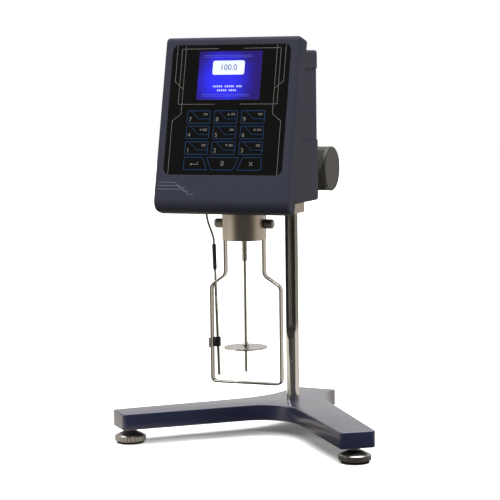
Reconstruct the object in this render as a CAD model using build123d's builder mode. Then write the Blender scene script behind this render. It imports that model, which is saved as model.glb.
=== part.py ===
from build123d import *

import os
from math import acos, cos, pi, radians, sin, tan

# Rotational viscometer on a rack stand: a Y base on three levelling feet, a chrome post with a
# rack, a clamp block with its pinion and knob, and a measuring head with a sloped front that turns
# a disc spindle inside a strip guard.
# Millimetres. +X is the operator's right, -Y is the front, +Z is up and the bench is at z = 0.
# Sizes below are taken from the post's axis, which stands at (post_x, post_y).

# ---------------------------------------------------------------- driving dimensions
post_x, post_y = 11.7, 61.8      # post axis, from the middle of the instrument's footprint

seat_gap = 0.02                 # radial gap of a part pressed or bonded in its seat
slide_gap = 0.05                # radial gap of the block on the post and of turning shafts
face_gap = 0.10                 # axial gap beside a turning part

# base
stand_turn = -5.0               # the base stands turned under the head, degrees
leg_splay = 41.7                # each front leg from the base's middle line, degrees
leg_width = 37.2
leg_reach = 220.6               # from where the legs' middle lines meet
back_reach = 65.4
junction_behind = 17.6          # that meeting point, behind the post
plate_thickness = 18.2
plate_top = 35.4
plate_bevel = 1.2
crotch_radius = 14.0
flank_radius = 40.0
leg_corner = 3.0

bolt_head_radius, bolt_head_height, bolt_radius = 7.0, 5.0, 4.0
bolt_recess_gap = 1.0           # round the bolt's head, in the plate's underside
bolt_sunk = 0.5                 # bolt's head above the plate's underside
bolt_length, bore_beyond_bolt = 20.0, 6.5

# levelling feet
foot_inset = 14.6               # foot centre from a leg's end
foot_radius = 17.4
foot_flutes, flute_depth = 26, 1.0
wheel_bevel = 1.2               # above and below the fluted rim
rim_thickness = 5.0
crown_radius, crown_rise = 13.2, 1.0
neck_radius, neck_rise = 6.2, 3.2
thrust_radius = 5.4             # where the foot bears on the plate
pad_radius = 15.0
pad_thickness = 2.2
stud_radius = 4.0
stud_below_top, stud_bevel = 4.4, 0.8       # the stud's end, under the plate's top

# post and rack
post_radius = 7.4
post_seat = 8.2                 # depth of the post in the plate
post_over_rack = 8.7            # the post's end above the rack
flat_from_axis = 4.6            # milled flat that faces the head
flat_run_out = 16.75            # below the rack
rack_width = 3.5
rack_groove = 1.4
gear_module = 0.75
pressure_angle = 20.0
backlash = 0.12
pitch_line = 5.85               # rack's pitch line from the post axis
teeth_below = 76                # rack teeth below and above the pinion at rest
teeth_above = 34
lift_teeth = 18

# clamp block and knob
block_half_width = 12.4
block_back = 11.4
block_front = -43.0
pinion_height = 302.0
block_under_pinion = 51.2
pinion_half_length = 4.0
lift_shaft_radius = 4.0
bush_radius = 8.0
knob_radius = 24.8
knob_back = 33.0                # the knob's skirt and outer face, along X
knob_face = 55.0
knob_cap_thickness = 4.6
knob_ribs = 64
arm_over_pinion = 18.0
arm_radius = 7.0
arm_end = -12.0
arm_screw_y = -32.0
block_over_arm = 15.0
drag_over_bottom = 17.2         # drag screw above the block's bottom
flange_radius, flange_thickness = 17.0, 5.0
arm_screw_ring = 12.5           # radius of the ring of screws in the flange

# head
face_tilt = 13.8                # slope of the front face, degrees
face_bottom_y = -211.7
face_drop = 5.1                 # the face's lower edge below the housing
face_width, face_height = 151.8, 186.0
cover_depth = 21.0
cover_wall = 3.0
cover_round = 3.5               # down both sides of the cover
cover_top_round = 5.0
cover_chin_round = 12.0
body_half_width = 70.0
body_back = -97.0
arm_over_floor = 46.6           # the arm's axis above the housing's underside
housing_height, cap_height = 64.6, 19.5
cap_drop = 10.42                # the cap's top below the cover's upper back edge
wrap_inset = 1.0
shell_wall = 2.5
body_round = 6.0
sheet_thickness = 0.8           # printed front sheet
panel_width, panel_height = 133.6, 139.0
panel_under_top = 8.9           # the sheet's upper edge below the face's
panel_corner = 7.5
screen_width, screen_height = 71.0, 51.8
screen_margin = 7.1             # the screen below the sheet's upper edge
keypad_width, keypad_height = 94.0, 66.0
keypad_margin = 3.6             # the keypad above the sheet's lower edge
module_over_width, module_over_height = 13.0, 3.8   # display module round the screen
board_depth, board_thickness = 13.0, 1.6
board_side_gap, board_end_gap = 4.5, 6.9    # main board to the body's inside
boss_radius, boss_inset = 3.5, 3.0
level_y = -118.0
bezel_radius, bezel_height = 10.0, 5.0
vial_radius, vial_height = 7.6, 4.2

# measuring drive, on the spindle's axis
axis_y = -141.9
chassis_side_gap, chassis_back_gap = 5.5, 2.5
chassis_length, chassis_thickness = 78.0, 6.1
rear_plate_width, rear_plate_thickness = 52.0, 5.0
collar_radius, collar_height = 13.0, 6.0
screw_inset, screw_spacing = 10.0, 60.0     # the housing's four screws, in the chassis
drive_teeth, motor_teeth = 64, 16
gear_clear, gear_thickness = 2.0, 4.0       # gear above the collar
spring_room = 6.0               # between the gear and the motor plate
plate_depth, plate_overhang = 3.0, 26.0
plate_length, plate_corner = 58.0, 5.0
pillar_radius, pillar_inset = 3.4, 5.0
pivot_radius = 1.5
motor_radius, motor_length = 16.0, 26.0

# spindle and guard
mount_radius, mount_length = 23.6, 40.6
spigot_radius, spigot_height = 18.0, 4.6
strip_width, strip_thickness = 8.0, 1.8
guard_half_width, guard_length = 42.4, 192.0
guard_clear = 5.4               # the guard's ends below the housing
joggle_drop, joggle_height = 37.3, 14.5     # below the mount, and its own height
thumb_rise = 17.2               # guard's screws above the mount's lower edge
coupling_drop = 13.8            # coupling's lower end below the mount
grip_length = 10.0
disc_radius, disc_thickness, disc_drop = 23.465, 1.65, 102.5
tip_below_disc = 27.0
shaft_radius = 1.6

# temperature probe
probe_behind_axis = 5.9
probe_in_guard = 8.4            # the tip, inside the guard's outer face
probe_lean = 4.0                # from the tip to the sleeve's top
tip_over_guard = 8.0
sleeve_below_mount = 6.8
probe_radius = 1.35
sleeve_radius = 1.6
sleeve_length = 26.0
clip_over_guard = 44.5
lead_radius = 0.8
socket_x = -46.3
socket_radius, socket_length = 3.4, 8.0

# rear connections
inlet_x, inlet_over_floor, inlet_width, inlet_height = -45.0, 25.6, 28.0, 20.4
switch_over_inlet, switch_width, switch_height = 26.0, 19.6, 13.4
port_x, port_over_floor, port_width, port_height = 45.0, 28.6, 12.4, 11.2

# ---------------------------------------------------------------- heights and places that follow
arm_height = pinion_height + arm_over_pinion
block_top = arm_height + block_over_arm
block_bottom = pinion_height - block_under_pinion
drag_height = block_bottom + drag_over_bottom

housing_bottom = arm_height - arm_over_floor
lower_seam = housing_bottom + housing_height
face_bottom_z = housing_bottom - face_drop
cover_rise = face_height * cos(radians(face_tilt)) - cover_depth * sin(radians(face_tilt))
body_top = face_bottom_z + cover_rise - cap_drop
upper_seam = body_top - cap_height

# up the slope, from the face's lower edge
panel_high = face_height - panel_under_top
panel_middle = panel_high - panel_height / 2
screen_middle = panel_high - screen_margin - screen_height / 2
keypad_middle = panel_high - panel_height + keypad_margin + keypad_height / 2

chassis_bottom = housing_bottom + shell_wall
chassis_top = chassis_bottom + chassis_thickness
collar_top = chassis_top + collar_height
gear_bottom = collar_top + gear_clear
plate_bottom = gear_bottom + gear_thickness + spring_room

mount_bottom = housing_bottom - mount_length
guard_top = housing_bottom - guard_clear
guard_bottom = guard_top - guard_length
joggle_top = mount_bottom - joggle_drop
joggle_bottom = joggle_top - joggle_height
thumb_height = mount_bottom + thumb_rise
coupling_joint = mount_bottom - coupling_drop
spindle_head = coupling_joint - grip_length
disc_height = coupling_joint - disc_drop
spindle_tip = disc_height - tip_below_disc
spigot_top = housing_bottom + spigot_height

probe_y = axis_y + probe_behind_axis
probe_tip = (probe_in_guard - guard_half_width, guard_bottom + tip_over_guard)
probe_top = (probe_tip[0] - probe_lean, mount_bottom - sleeve_below_mount)
clip_height = guard_bottom + clip_over_guard

inlet_z = housing_bottom + inlet_over_floor
switch_z = inlet_z + switch_over_inlet
port_z = housing_bottom + port_over_floor


# ---------------------------------------------------------------- planes
def level(height, x=0.0, y=0.0):
    """Horizontal plane at a height, placed from the post axis."""
    return Plane(origin=(post_x + x, post_y + y, height))


def facing(y, x=0.0, z=0.0):
    """Upright plane that looks to the front, with its own y upwards."""
    return Plane(origin=(post_x + x, post_y + y, z), x_dir=(1, 0, 0), z_dir=(0, -1, 0))


def side(x, y=0.0, z=0.0):
    """Upright plane that looks to the right, with its own x to the back and its own y upwards."""
    return Plane(origin=(post_x + x, post_y + y, z), x_dir=(0, 1, 0), z_dir=(1, 0, 0))


def stand_level(height):
    """Horizontal plane on the post axis, turned with the base."""
    turn = radians(stand_turn)
    return Plane(origin=(post_x, post_y, height), x_dir=(cos(turn), sin(turn), 0))


def face_plane(depth):
    """Plane parallel to the sloped front face, a depth behind it, from the middle of its lower edge."""
    tilt = radians(face_tilt)
    normal = Vector(0, -cos(tilt), sin(tilt))
    origin = Vector(post_x, post_y + face_bottom_y, face_bottom_z) - normal * depth
    return Plane(origin=origin, x_dir=(1, 0, 0), z_dir=normal)


def slope_side(x):
    """Upright plane that looks to the right, its own x square into the sloped face, its own y up it."""
    front = face_plane(0.0)
    return Plane(origin=front.origin + Vector(x, 0, 0), x_dir=-front.z_dir, z_dir=(1, 0, 0))


def cover_back_y(height):
    """Where the cover's back face stands at a height."""
    tilt = radians(face_tilt)
    return face_bottom_y + (height - face_bottom_z) * tan(tilt) + cover_depth / cos(tilt)


def up_the_back(height):
    """How far up the slope the cover's back face meets a height."""
    tilt = radians(face_tilt)
    return (height - face_bottom_z + cover_depth * sin(tilt)) / cos(tilt)


UP = (Align.CENTER, Align.CENTER, Align.MIN)


# ---------------------------------------------------------------- outlines
def gear_points(teeth, module, first_gap=0.0):
    """Corner points of a spur gear with involute flanks, one gap centred at an angle in degrees."""
    pitch = module * teeth / 2
    base = pitch * cos(radians(pressure_angle))
    root, tip = pitch - 1.25 * module, pitch + module
    half_pitch_tooth = pi / (2 * teeth) - backlash / (4 * pitch)

    def involute(radius):
        angle = acos(min(1.0, base / radius))
        return tan(angle) - angle

    radii = [root, pitch, tip] if root > base else [root, base, pitch, tip]
    half = [half_pitch_tooth + involute(pitch) - involute(max(r, base)) for r in radii]
    points = []
    for tooth in range(teeth):
        middle = radians(first_gap) + 2 * pi * (tooth + 0.5) / teeth
        flank = [(r, -h) for r, h in zip(radii, half)] + [(r, h) for r, h in zip(radii[::-1], half[::-1])]
        points += [(r * cos(middle + a), r * sin(middle + a)) for r, a in flank]
    return points


def ring_points(radius, depth, ribs):
    """Corner points of a ribbed rim."""
    count = 2 * ribs
    return [((radius - depth * (i % 2)) * cos(2 * pi * i / count),
             (radius - depth * (i % 2)) * sin(2 * pi * i / count)) for i in range(count)]


def fluted_points(radius, depth, flutes, land=0.3):
    """Corner points of a wheel's rim with V-shaped flutes between its lands."""
    points = []
    for flute in range(flutes):
        for share, r in ((-land, radius), (land, radius), (0.5, radius - depth)):
            angle = 2 * pi * (flute + share) / flutes
            points.append((r * cos(angle), r * sin(angle)))
    return points


def arc_radii(points, share=0.45):
    """For each corner of a lead's route, the radius that its two runs leave room for."""
    radii = []
    for before, corner, after in zip(points, points[1:], points[2:]):
        run_in = Vector(*corner) - Vector(*before)
        run_out = Vector(*after) - Vector(*corner)
        turn = radians(run_in.get_angle(run_out))
        radii.append(share * min(run_in.length, run_out.length) / tan(turn / 2))
    return radii


# ---------------------------------------------------------------- base
front_angles = (-90 - leg_splay, -90 + leg_splay)
legs = [(front_angles[0], leg_reach), (front_angles[1], leg_reach), (90.0, back_reach)]
foot_places = [((reach - foot_inset) * cos(radians(angle)),
                junction_behind + (reach - foot_inset) * sin(radians(angle))) for angle, reach in legs]
plate_bottom_z = plate_top - plate_thickness
post_bottom = plate_top - post_seat

with BuildPart(stand_level(plate_top)) as base_plate:
    with BuildSketch(stand_level(plate_top)) as base_outline:
        for angle, reach in legs:
            with Locations(Location((0, junction_behind, 0), (0, 0, angle))):
                Rectangle(reach, leg_width, align=(Align.MIN, Align.CENTER))
        inner = base_outline.vertices().sort_by_distance((0, junction_behind, 0))
        fillet(inner[2], crotch_radius)
        inner = base_outline.vertices().sort_by_distance((0, junction_behind, 0))
        fillet(inner[0:2], flank_radius)
        ends = base_outline.vertices().sort_by_distance((0, junction_behind, 0))
        fillet(ends[-6:], leg_corner)
    extrude(amount=-plate_thickness)
    chamfer(base_plate.faces().sort_by(Axis.Z)[-1].edges(), plate_bevel)
    chamfer(base_plate.faces().sort_by(Axis.Z)[0].edges(), plate_bevel)
    with Locations((0, 0, 0)):
        Hole(post_radius + seat_gap, post_seat)
        Hole(bolt_radius + seat_gap)
    with Locations((0, 0, -plate_thickness)):
        Cylinder(bolt_head_radius + bolt_recess_gap, bolt_head_height + bolt_sunk, align=UP,
                 mode=Mode.SUBTRACT)
    with Locations(*[(x, y, -plate_thickness) for x, y in foot_places]):
        Cylinder(stud_radius + slide_gap, plate_thickness - 3, align=UP, mode=Mode.SUBTRACT)
base_plate.part.label = "base_plate"

with BuildPart(level(plate_bottom_z + bolt_sunk)) as post_bolt:
    Cylinder(bolt_head_radius, bolt_head_height, align=UP)
    chamfer(post_bolt.faces().sort_by(Axis.Z)[0].edges(), 0.5)
    with Locations((0, 0, bolt_head_height)):
        Cylinder(bolt_radius, bolt_length, align=UP)
    with BuildSketch(level(plate_bottom_z + bolt_sunk)):
        RegularPolygon(3.0, 6)
    extrude(amount=2.8, mode=Mode.SUBTRACT)
post_bolt.part.label = "post_bolt"


def levelling_foot(place):
    """Stud and fluted wheel of one levelling foot, turned from one piece."""
    x, y = stand_place(place)
    rim_low = pad_thickness + wheel_bevel
    rim_high = rim_low + rim_thickness
    wheel_top = rim_high + wheel_bevel
    crown_high = wheel_top + crown_rise
    shoulder = foot_radius - flute_depth
    thrust = plate_bottom_z - face_gap
    stud_end = plate_top - stud_below_top
    with BuildPart(level(0.0, x, y)) as foot:
        with BuildSketch(facing(y, x)):
            with BuildLine():
                Polyline((0, pad_thickness), (shoulder - wheel_bevel, pad_thickness), (shoulder, rim_low),
                         (shoulder, rim_high), (shoulder - wheel_bevel, wheel_top),
                         (crown_radius, crown_high), (neck_radius, crown_high + neck_rise),
                         (thrust_radius, thrust), (stud_radius, thrust), (stud_radius, stud_end - stud_bevel),
                         (stud_radius - stud_bevel, stud_end), (0, stud_end), close=True)
            make_face()
        revolve(axis=Axis((post_x + x, post_y + y, 0), (0, 0, 1)))
        with BuildSketch(level(rim_low, x, y)):
            with BuildLine():
                Polyline(*fluted_points(foot_radius, flute_depth, foot_flutes), close=True)
            make_face()
        extrude(amount=rim_thickness)
    return foot


def foot_pad(place):
    """Rubber pad bonded under one levelling foot."""
    x, y = stand_place(place)
    with BuildPart(level(0.0, x, y)) as pad:
        Cylinder(pad_radius, pad_thickness, align=UP)
        chamfer(pad.faces().sort_by(Axis.Z)[0].edges(), 0.4)
    return pad


def stand_place(place):
    """A place in the turned base's plan, as seen from the post axis."""
    turn = radians(stand_turn)
    x, y = place
    return x * cos(turn) - y * sin(turn), x * sin(turn) + y * cos(turn)


feet = []
for name, place in zip(("left", "right", "back"), foot_places):
    foot = levelling_foot(place)
    foot.part.label = f"foot_{name}"
    pad = foot_pad(place)
    pad.part.label = f"foot_pad_{name}"
    feet += [foot, pad]

# ---------------------------------------------------------------- post and rack
tooth_pitch = pi * gear_module
crest = pitch_line + gear_module
root = pitch_line - 1.25 * gear_module
rack_back = flat_from_axis - rack_groove
rack_low = pinion_height - (teeth_below + 0.5) * tooth_pitch
rack_high = pinion_height + (teeth_above + 0.5) * tooth_pitch
flat_bottom = rack_low - flat_run_out
post_top = rack_high + post_over_rack
bolt_end = plate_bottom_z + bolt_sunk + bolt_head_height + bolt_length
bore_depth = bolt_end + bore_beyond_bolt - post_bottom

with BuildPart(level(post_bottom)) as post:
    Cylinder(post_radius, post_top - post_bottom, align=UP)
    chamfer(post.faces().sort_by(Axis.Z)[-1].edges(), 1.2)
    Cylinder(bolt_radius + seat_gap, bore_depth, align=UP, mode=Mode.SUBTRACT)
    with BuildSketch(facing(-flat_from_axis)):
        with Locations((0, flat_bottom + post_radius)):
            Circle(post_radius)
            Rectangle(2 * post_radius, post_top, align=(Align.CENTER, Align.MIN))
    extrude(amount=post_radius, mode=Mode.SUBTRACT)
    with BuildSketch(facing(-flat_from_axis)):
        with Locations((0, rack_low)):
            Rectangle(rack_width + 2 * seat_gap, rack_high - rack_low, align=(Align.CENTER, Align.MIN))
    extrude(amount=-rack_groove, mode=Mode.SUBTRACT)
post.part.label = "post"

half_crest = tooth_pitch / 4 - gear_module * tan(radians(pressure_angle)) - backlash / 4
half_root = tooth_pitch / 4 + 1.25 * gear_module * tan(radians(pressure_angle)) - backlash / 4
rack_outline = [(-rack_back, rack_low)]
rack_outline += [(-root, rack_low)]
for tooth in range(-teeth_below, teeth_above + 1):
    middle = pinion_height + tooth * tooth_pitch
    rack_outline += [(-root, middle - half_root), (-crest, middle - half_crest),
                     (-crest, middle + half_crest), (-root, middle + half_root)]
rack_outline += [(-root, rack_high), (-rack_back, rack_high)]

with BuildPart() as rack_strip:
    with BuildSketch(side(0.0)):
        with BuildLine():
            Polyline(*rack_outline, close=True)
        make_face()
    extrude(amount=rack_width / 2, both=True)
rack_strip.part.label = "rack_strip"

# ---------------------------------------------------------------- clamp block, pinion and knob
lift_pitch_radius = gear_module * lift_teeth / 2
pinion_y = -(pitch_line + lift_pitch_radius)
block_length = block_back - block_front
block_middle_y = (block_back + block_front) / 2

with BuildPart(level(block_bottom, 0, block_middle_y)) as clamp_block:
    Box(2 * block_half_width, block_length, block_top - block_bottom, align=UP)
    chamfer(clamp_block.edges(), 1.0)
    with BuildSketch(level(block_bottom)):
        Circle(post_radius + slide_gap)
    extrude(amount=block_top - block_bottom, mode=Mode.SUBTRACT)
    with BuildSketch(side(0.0, pinion_y, pinion_height)):
        Circle(bush_radius)
    extrude(amount=block_half_width, both=True, mode=Mode.SUBTRACT)
    with BuildSketch(facing(arm_end, 0, arm_height)):
        Circle(arm_radius + seat_gap)
    extrude(amount=arm_end - block_front, mode=Mode.SUBTRACT)
    with BuildSketch(side(-block_half_width, 0, drag_height)):
        Circle(3.0 + seat_gap)
    extrude(amount=block_half_width, mode=Mode.SUBTRACT)
    with BuildSketch(level(arm_height, 0, arm_screw_y)):
        Circle(2.5 + seat_gap)
    extrude(amount=block_top - arm_height, mode=Mode.SUBTRACT)
clamp_block.part.label = "clamp_block"

with BuildPart() as pinion_bushes:
    for near, far in ((-block_half_width, -pinion_half_length - face_gap),
                      (pinion_half_length + face_gap, block_half_width)):
        with BuildSketch(side(near, pinion_y, pinion_height)):
            Circle(bush_radius - seat_gap)
            Circle(lift_shaft_radius + slide_gap, mode=Mode.SUBTRACT)
        extrude(amount=far - near)
    with BuildSketch(level(block_bottom)):
        Circle(post_radius + 0.3)
    extrude(amount=block_top - block_bottom, mode=Mode.SUBTRACT)
pinion_bushes.part.label = "pinion_bushes"

with BuildPart() as lift_pinion:
    with BuildSketch(side(0.0, pinion_y, pinion_height)):
        with BuildLine():
            Polyline(*gear_points(lift_teeth, gear_module), close=True)
        make_face()
    extrude(amount=pinion_half_length, both=True)
    with BuildSketch(side(-block_half_width - 0.6, pinion_y, pinion_height)):
        Circle(lift_shaft_radius)
    extrude(amount=knob_face - knob_cap_thickness + block_half_width - 3.0)
    chamfer(lift_pinion.faces().sort_by(Axis.X)[0].edges(), 0.6)
lift_pinion.part.label = "lift_pinion"

knob_hub = 11.0
knob_hollow = 19.5
cap_back = knob_face - knob_cap_thickness
with BuildPart() as lift_knob:
    with BuildSketch(side(knob_back, pinion_y, pinion_height)):
        with BuildLine():
            Polyline(*ring_points(knob_radius - 0.2, 0.75, knob_ribs), close=True)
        make_face()
    extrude(amount=cap_back - knob_back)
    with BuildSketch(side(knob_back, pinion_y, pinion_height)):
        Circle(knob_hollow)
    extrude(amount=6.0, mode=Mode.SUBTRACT)
    with BuildSketch(side(block_half_width + 1.0, pinion_y, pinion_height)):
        Circle(knob_hub)
    extrude(amount=knob_back + 8.0 - block_half_width)
    with BuildSketch(side(block_half_width + 1.0, pinion_y, pinion_height)):
        Circle(lift_shaft_radius + seat_gap)
    extrude(amount=cap_back - block_half_width, mode=Mode.SUBTRACT)
lift_knob.part.label = "lift_knob"

with BuildPart() as knob_cap:
    with BuildSketch(side(cap_back, pinion_y, pinion_height)):
        Circle(knob_radius)
    extrude(amount=knob_cap_thickness)
    chamfer(knob_cap.faces().sort_by(Axis.X)[-1].edges(), 1.1)
    chamfer(knob_cap.faces().sort_by(Axis.X)[0].edges(), 0.5)
knob_cap.part.label = "knob_cap"

drag_tip = 10.0
drag_radius, drag_head_height = 3.0, 3.0
with BuildPart() as drag_screw:
    with BuildSketch(side(-block_half_width - drag_head_height, 0, drag_height)):
        Circle(4.6)
    extrude(amount=drag_head_height)
    chamfer(drag_screw.faces().sort_by(Axis.X)[0].edges(), 0.6)
    with BuildSketch(side(-block_half_width, 0, drag_height)):
        Circle(drag_radius)
    extrude(amount=block_half_width - drag_tip)
    with BuildSketch(side(-block_half_width - drag_head_height, 0, drag_height)):
        RegularPolygon(2.0, 6)
    extrude(amount=2.0, mode=Mode.SUBTRACT)
drag_screw.part.label = "drag_screw"

with BuildPart() as drag_shoe:
    with BuildSketch(side(-drag_tip, 0, drag_height)):
        Circle(drag_radius - seat_gap)
    extrude(amount=drag_tip - 4.0)
    with BuildSketch(level(drag_height - 5)):
        Circle(post_radius + slide_gap)
    extrude(amount=10.0, mode=Mode.SUBTRACT)
drag_shoe.part.label = "drag_shoe"

rear_plate_back = body_back - shell_wall
rear_plate_front = rear_plate_back - rear_plate_thickness
flange_front = rear_plate_front - flange_thickness
arm_screw_places = [(arm_screw_ring * cos(radians(a)), arm_height + arm_screw_ring * sin(radians(a)))
                    for a in (45, 135, 225, 315)]

with BuildPart() as arm_rod:
    with BuildSketch(facing(arm_end, 0, arm_height)):
        Circle(arm_radius)
    extrude(amount=arm_end - flange_front)
    chamfer(arm_rod.faces().sort_by(Axis.Y)[-1].edges(), 0.8)
    with BuildSketch(facing(rear_plate_front, 0, arm_height)):
        Circle(flange_radius)
    extrude(amount=flange_thickness)
    with BuildSketch(facing(rear_plate_front)):
        with Locations(*arm_screw_places):
            Circle(2.0 + seat_gap)
    extrude(amount=flange_thickness, mode=Mode.SUBTRACT)
arm_rod.part.label = "arm_rod"

with BuildPart() as arm_screws:
    with BuildSketch(facing(flange_front)):
        with Locations(*arm_screw_places):
            Circle(3.4)
    extrude(amount=3.0)
    with BuildSketch(facing(flange_front)):
        with Locations(*arm_screw_places):
            Circle(2.0)
    extrude(amount=-(flange_thickness + 4.0))
    with BuildSketch(facing(flange_front - 3.0)):
        with Locations(*arm_screw_places):
            RegularPolygon(1.6, 6)
    extrude(amount=-1.6, mode=Mode.SUBTRACT)
arm_screws.part.label = "arm_screws"

with BuildPart(level(arm_height + arm_radius, 0, arm_screw_y)) as arm_clamp_screw:
    Cylinder(2.5, block_top - arm_height - arm_radius, align=UP)
    with Locations((0, 0, block_top - arm_height - arm_radius)):
        Cylinder(4.2, 4.6, align=UP)
    chamfer(arm_clamp_screw.faces().sort_by(Axis.Z)[-1].edges(), 0.5)
    with BuildSketch(level(block_top + 4.6, 0, arm_screw_y)):
        RegularPolygon(2.2, 6)
    extrude(amount=-2.4, mode=Mode.SUBTRACT)
arm_clamp_screw.part.label = "arm_clamp_screw"

# ---------------------------------------------------------------- head shells
chassis_half_width = body_half_width - shell_wall - chassis_side_gap
chassis_back = rear_plate_back - chassis_back_gap
housing_screw_x = chassis_half_width - screw_inset
housing_screw_y = chassis_back - screw_inset
housing_screw_places = [(x, y) for x in (-housing_screw_x, housing_screw_x)
                        for y in (housing_screw_y, housing_screw_y - screw_spacing)]
housing_screw_radius = 1.5


def body_block(low, high, inset=0.0, wall=0.0):
    """Block of the head's body between two heights, behind the cover, with rounded back corners."""
    half = body_half_width - inset - wall
    back = body_back - inset - wall
    with BuildPart(mode=Mode.PRIVATE) as block:
        with BuildSketch(side(-half)):
            with BuildLine():
                Polyline((back, low), (back, high), (cover_back_y(high), high),
                         (cover_back_y(low), low), close=True)
            make_face()
        extrude(amount=2 * half)
        upright = block.edges().filter_by(Axis.Z).group_by(Axis.Y)[-1]
        fillet(upright, body_round - inset - wall)
    return block.part


with BuildPart() as bottom_housing:
    add(body_block(housing_bottom, lower_seam))
    bottom_edges = bottom_housing.faces().sort_by(Axis.Z)[0].edges()
    fillet(bottom_edges.filter_by(lambda e: e.center().Y > post_y + cover_back_y(housing_bottom) + 1), 3.0)
    add(body_block(housing_bottom + shell_wall, lower_seam, wall=shell_wall), mode=Mode.SUBTRACT)
    with BuildSketch(level(housing_bottom, 0, axis_y)):
        Circle(spigot_radius + seat_gap)
    extrude(amount=shell_wall, mode=Mode.SUBTRACT)
    with BuildSketch(level(housing_bottom)):
        with Locations(*housing_screw_places):
            Circle(housing_screw_radius + seat_gap)
        with Locations((socket_x, probe_y)):
            Circle(socket_radius - 0.9 + seat_gap)
    extrude(amount=shell_wall, mode=Mode.SUBTRACT)
    with BuildSketch(facing(body_back)):
        with Locations((0, arm_height)):
            Circle(arm_radius + 0.4)
        with Locations((inlet_x, inlet_z)):
            Rectangle(inlet_width + 2 * seat_gap, inlet_height + 2 * seat_gap)
        with Locations((inlet_x, switch_z)):
            Rectangle(switch_width + 2 * seat_gap, switch_height + 2 * seat_gap)
        with Locations((port_x, port_z)):
            Rectangle(port_width + 2 * seat_gap, port_height + 2 * seat_gap)
    extrude(amount=shell_wall, mode=Mode.SUBTRACT)
bottom_housing.part.label = "bottom_housing"

with BuildPart() as middle_wrap:
    add(body_block(lower_seam, upper_seam, inset=wrap_inset))
    add(body_block(lower_seam, upper_seam, inset=wrap_inset, wall=shell_wall), mode=Mode.SUBTRACT)
middle_wrap.part.label = "middle_wrap"

with BuildPart() as top_cap:
    add(body_block(upper_seam, body_top))
    top_edges = top_cap.faces().sort_by(Axis.Z)[-1].edges()
    fillet(top_edges.filter_by(lambda e: e.center().Y > post_y + cover_back_y(body_top) + 1), 3.0)
    add(body_block(upper_seam, body_top - shell_wall, wall=shell_wall), mode=Mode.SUBTRACT)
top_cap.part.label = "top_cap"

hollow_low = up_the_back(housing_bottom + shell_wall)
hollow_high = up_the_back(body_top - shell_wall)
board_middle = (hollow_low + hollow_high) / 2
board_half_width = body_half_width - shell_wall - board_side_gap
board_half_height = (hollow_high - hollow_low) / 2 - board_end_gap
boss_places = [(x, board_middle + y) for x in (boss_inset - board_half_width, board_half_width - boss_inset)
               for y in (boss_inset - board_half_height, board_half_height - boss_inset)]
outward = Axis(face_plane(0.0).origin, face_plane(0.0).z_dir)
with BuildPart() as front_cover:
    with BuildSketch(slope_side(-face_width / 2)) as cover_profile:
        Rectangle(cover_depth, face_height, align=(Align.MIN, Align.MIN))
        front_corners = cover_profile.vertices().group_by(Axis.X)[0].sort_by(Axis.Y)
        fillet(front_corners[0], cover_chin_round)
        front_corners = cover_profile.vertices().group_by(Axis.X)[0].sort_by(Axis.Y)
        fillet(front_corners[-1], cover_top_round)
    extrude(amount=face_width)
    left_face, *_, right_face = front_cover.faces().sort_by(Axis.X)
    fillet(left_face.edges().sort_by(outward)[1:] + right_face.edges().sort_by(outward)[1:], cover_round)
    with BuildSketch(face_plane(cover_depth)):
        with Locations((0, board_middle)):
            RectangleRounded(2 * (body_half_width - shell_wall), hollow_high - hollow_low,
                             body_round - shell_wall)
    extrude(amount=cover_depth - cover_wall, mode=Mode.SUBTRACT)
    with BuildSketch(face_plane(cover_wall)):
        with Locations(*boss_places):
            Circle(boss_radius)
    extrude(amount=-(board_depth - cover_wall))
    with BuildSketch(face_plane(0.0)):
        with Locations((0, panel_middle)):
            RectangleRounded(panel_width + 2 * seat_gap, panel_height + 2 * seat_gap, panel_corner)
    extrude(amount=-sheet_thickness, mode=Mode.SUBTRACT)
    with BuildSketch(face_plane(0.0)):
        with Locations((0, screen_middle)):
            Rectangle(screen_width + 3.0, screen_height + 3.0)
        with Locations((0, keypad_middle)):
            Rectangle(keypad_width, keypad_height)
    extrude(amount=-cover_wall, mode=Mode.SUBTRACT)
front_cover.part.label = "front_cover"

with BuildPart() as panel_sheet:
    with BuildSketch(face_plane(sheet_thickness)):
        with Locations((0, panel_middle)):
            RectangleRounded(panel_width, panel_height, panel_corner)
        with Locations((0, screen_middle)):
            Rectangle(screen_width, screen_height, mode=Mode.SUBTRACT)
    extrude(amount=sheet_thickness)
panel_sheet.part.label = "panel_sheet"

with BuildPart() as screen_window:
    with BuildSketch(face_plane(sheet_thickness)):
        with Locations((0, screen_middle)):
            Rectangle(screen_width - 2 * seat_gap, screen_height - 2 * seat_gap)
    extrude(amount=sheet_thickness)
screen_window.part.label = "screen_window"

with BuildPart() as display_module:
    with BuildSketch(face_plane(sheet_thickness)):
        with Locations((0, screen_middle)):
            Rectangle(screen_width + 2.0, screen_height + 2.0)
    extrude(amount=-(cover_wall - sheet_thickness))
    with BuildSketch(face_plane(cover_wall)):
        with Locations((0, screen_middle - 1.0)):
            Rectangle(screen_width + module_over_width, screen_height + module_over_height)
    extrude(amount=-(board_depth - cover_wall))
display_module.part.label = "display_module"

with BuildPart() as keypad_board:
    with BuildSketch(face_plane(sheet_thickness)):
        with Locations((0, keypad_middle)):
            Rectangle(keypad_width - 1.0, keypad_height - 1.0)
    extrude(amount=-board_thickness)
    with BuildSketch(face_plane(sheet_thickness + board_thickness)):
        with Locations((0, keypad_middle - keypad_height / 2 + 9.0)):
            Rectangle(30.0, 6.0)
    extrude(amount=-(board_depth - sheet_thickness - board_thickness))
keypad_board.part.label = "keypad_board"

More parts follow.
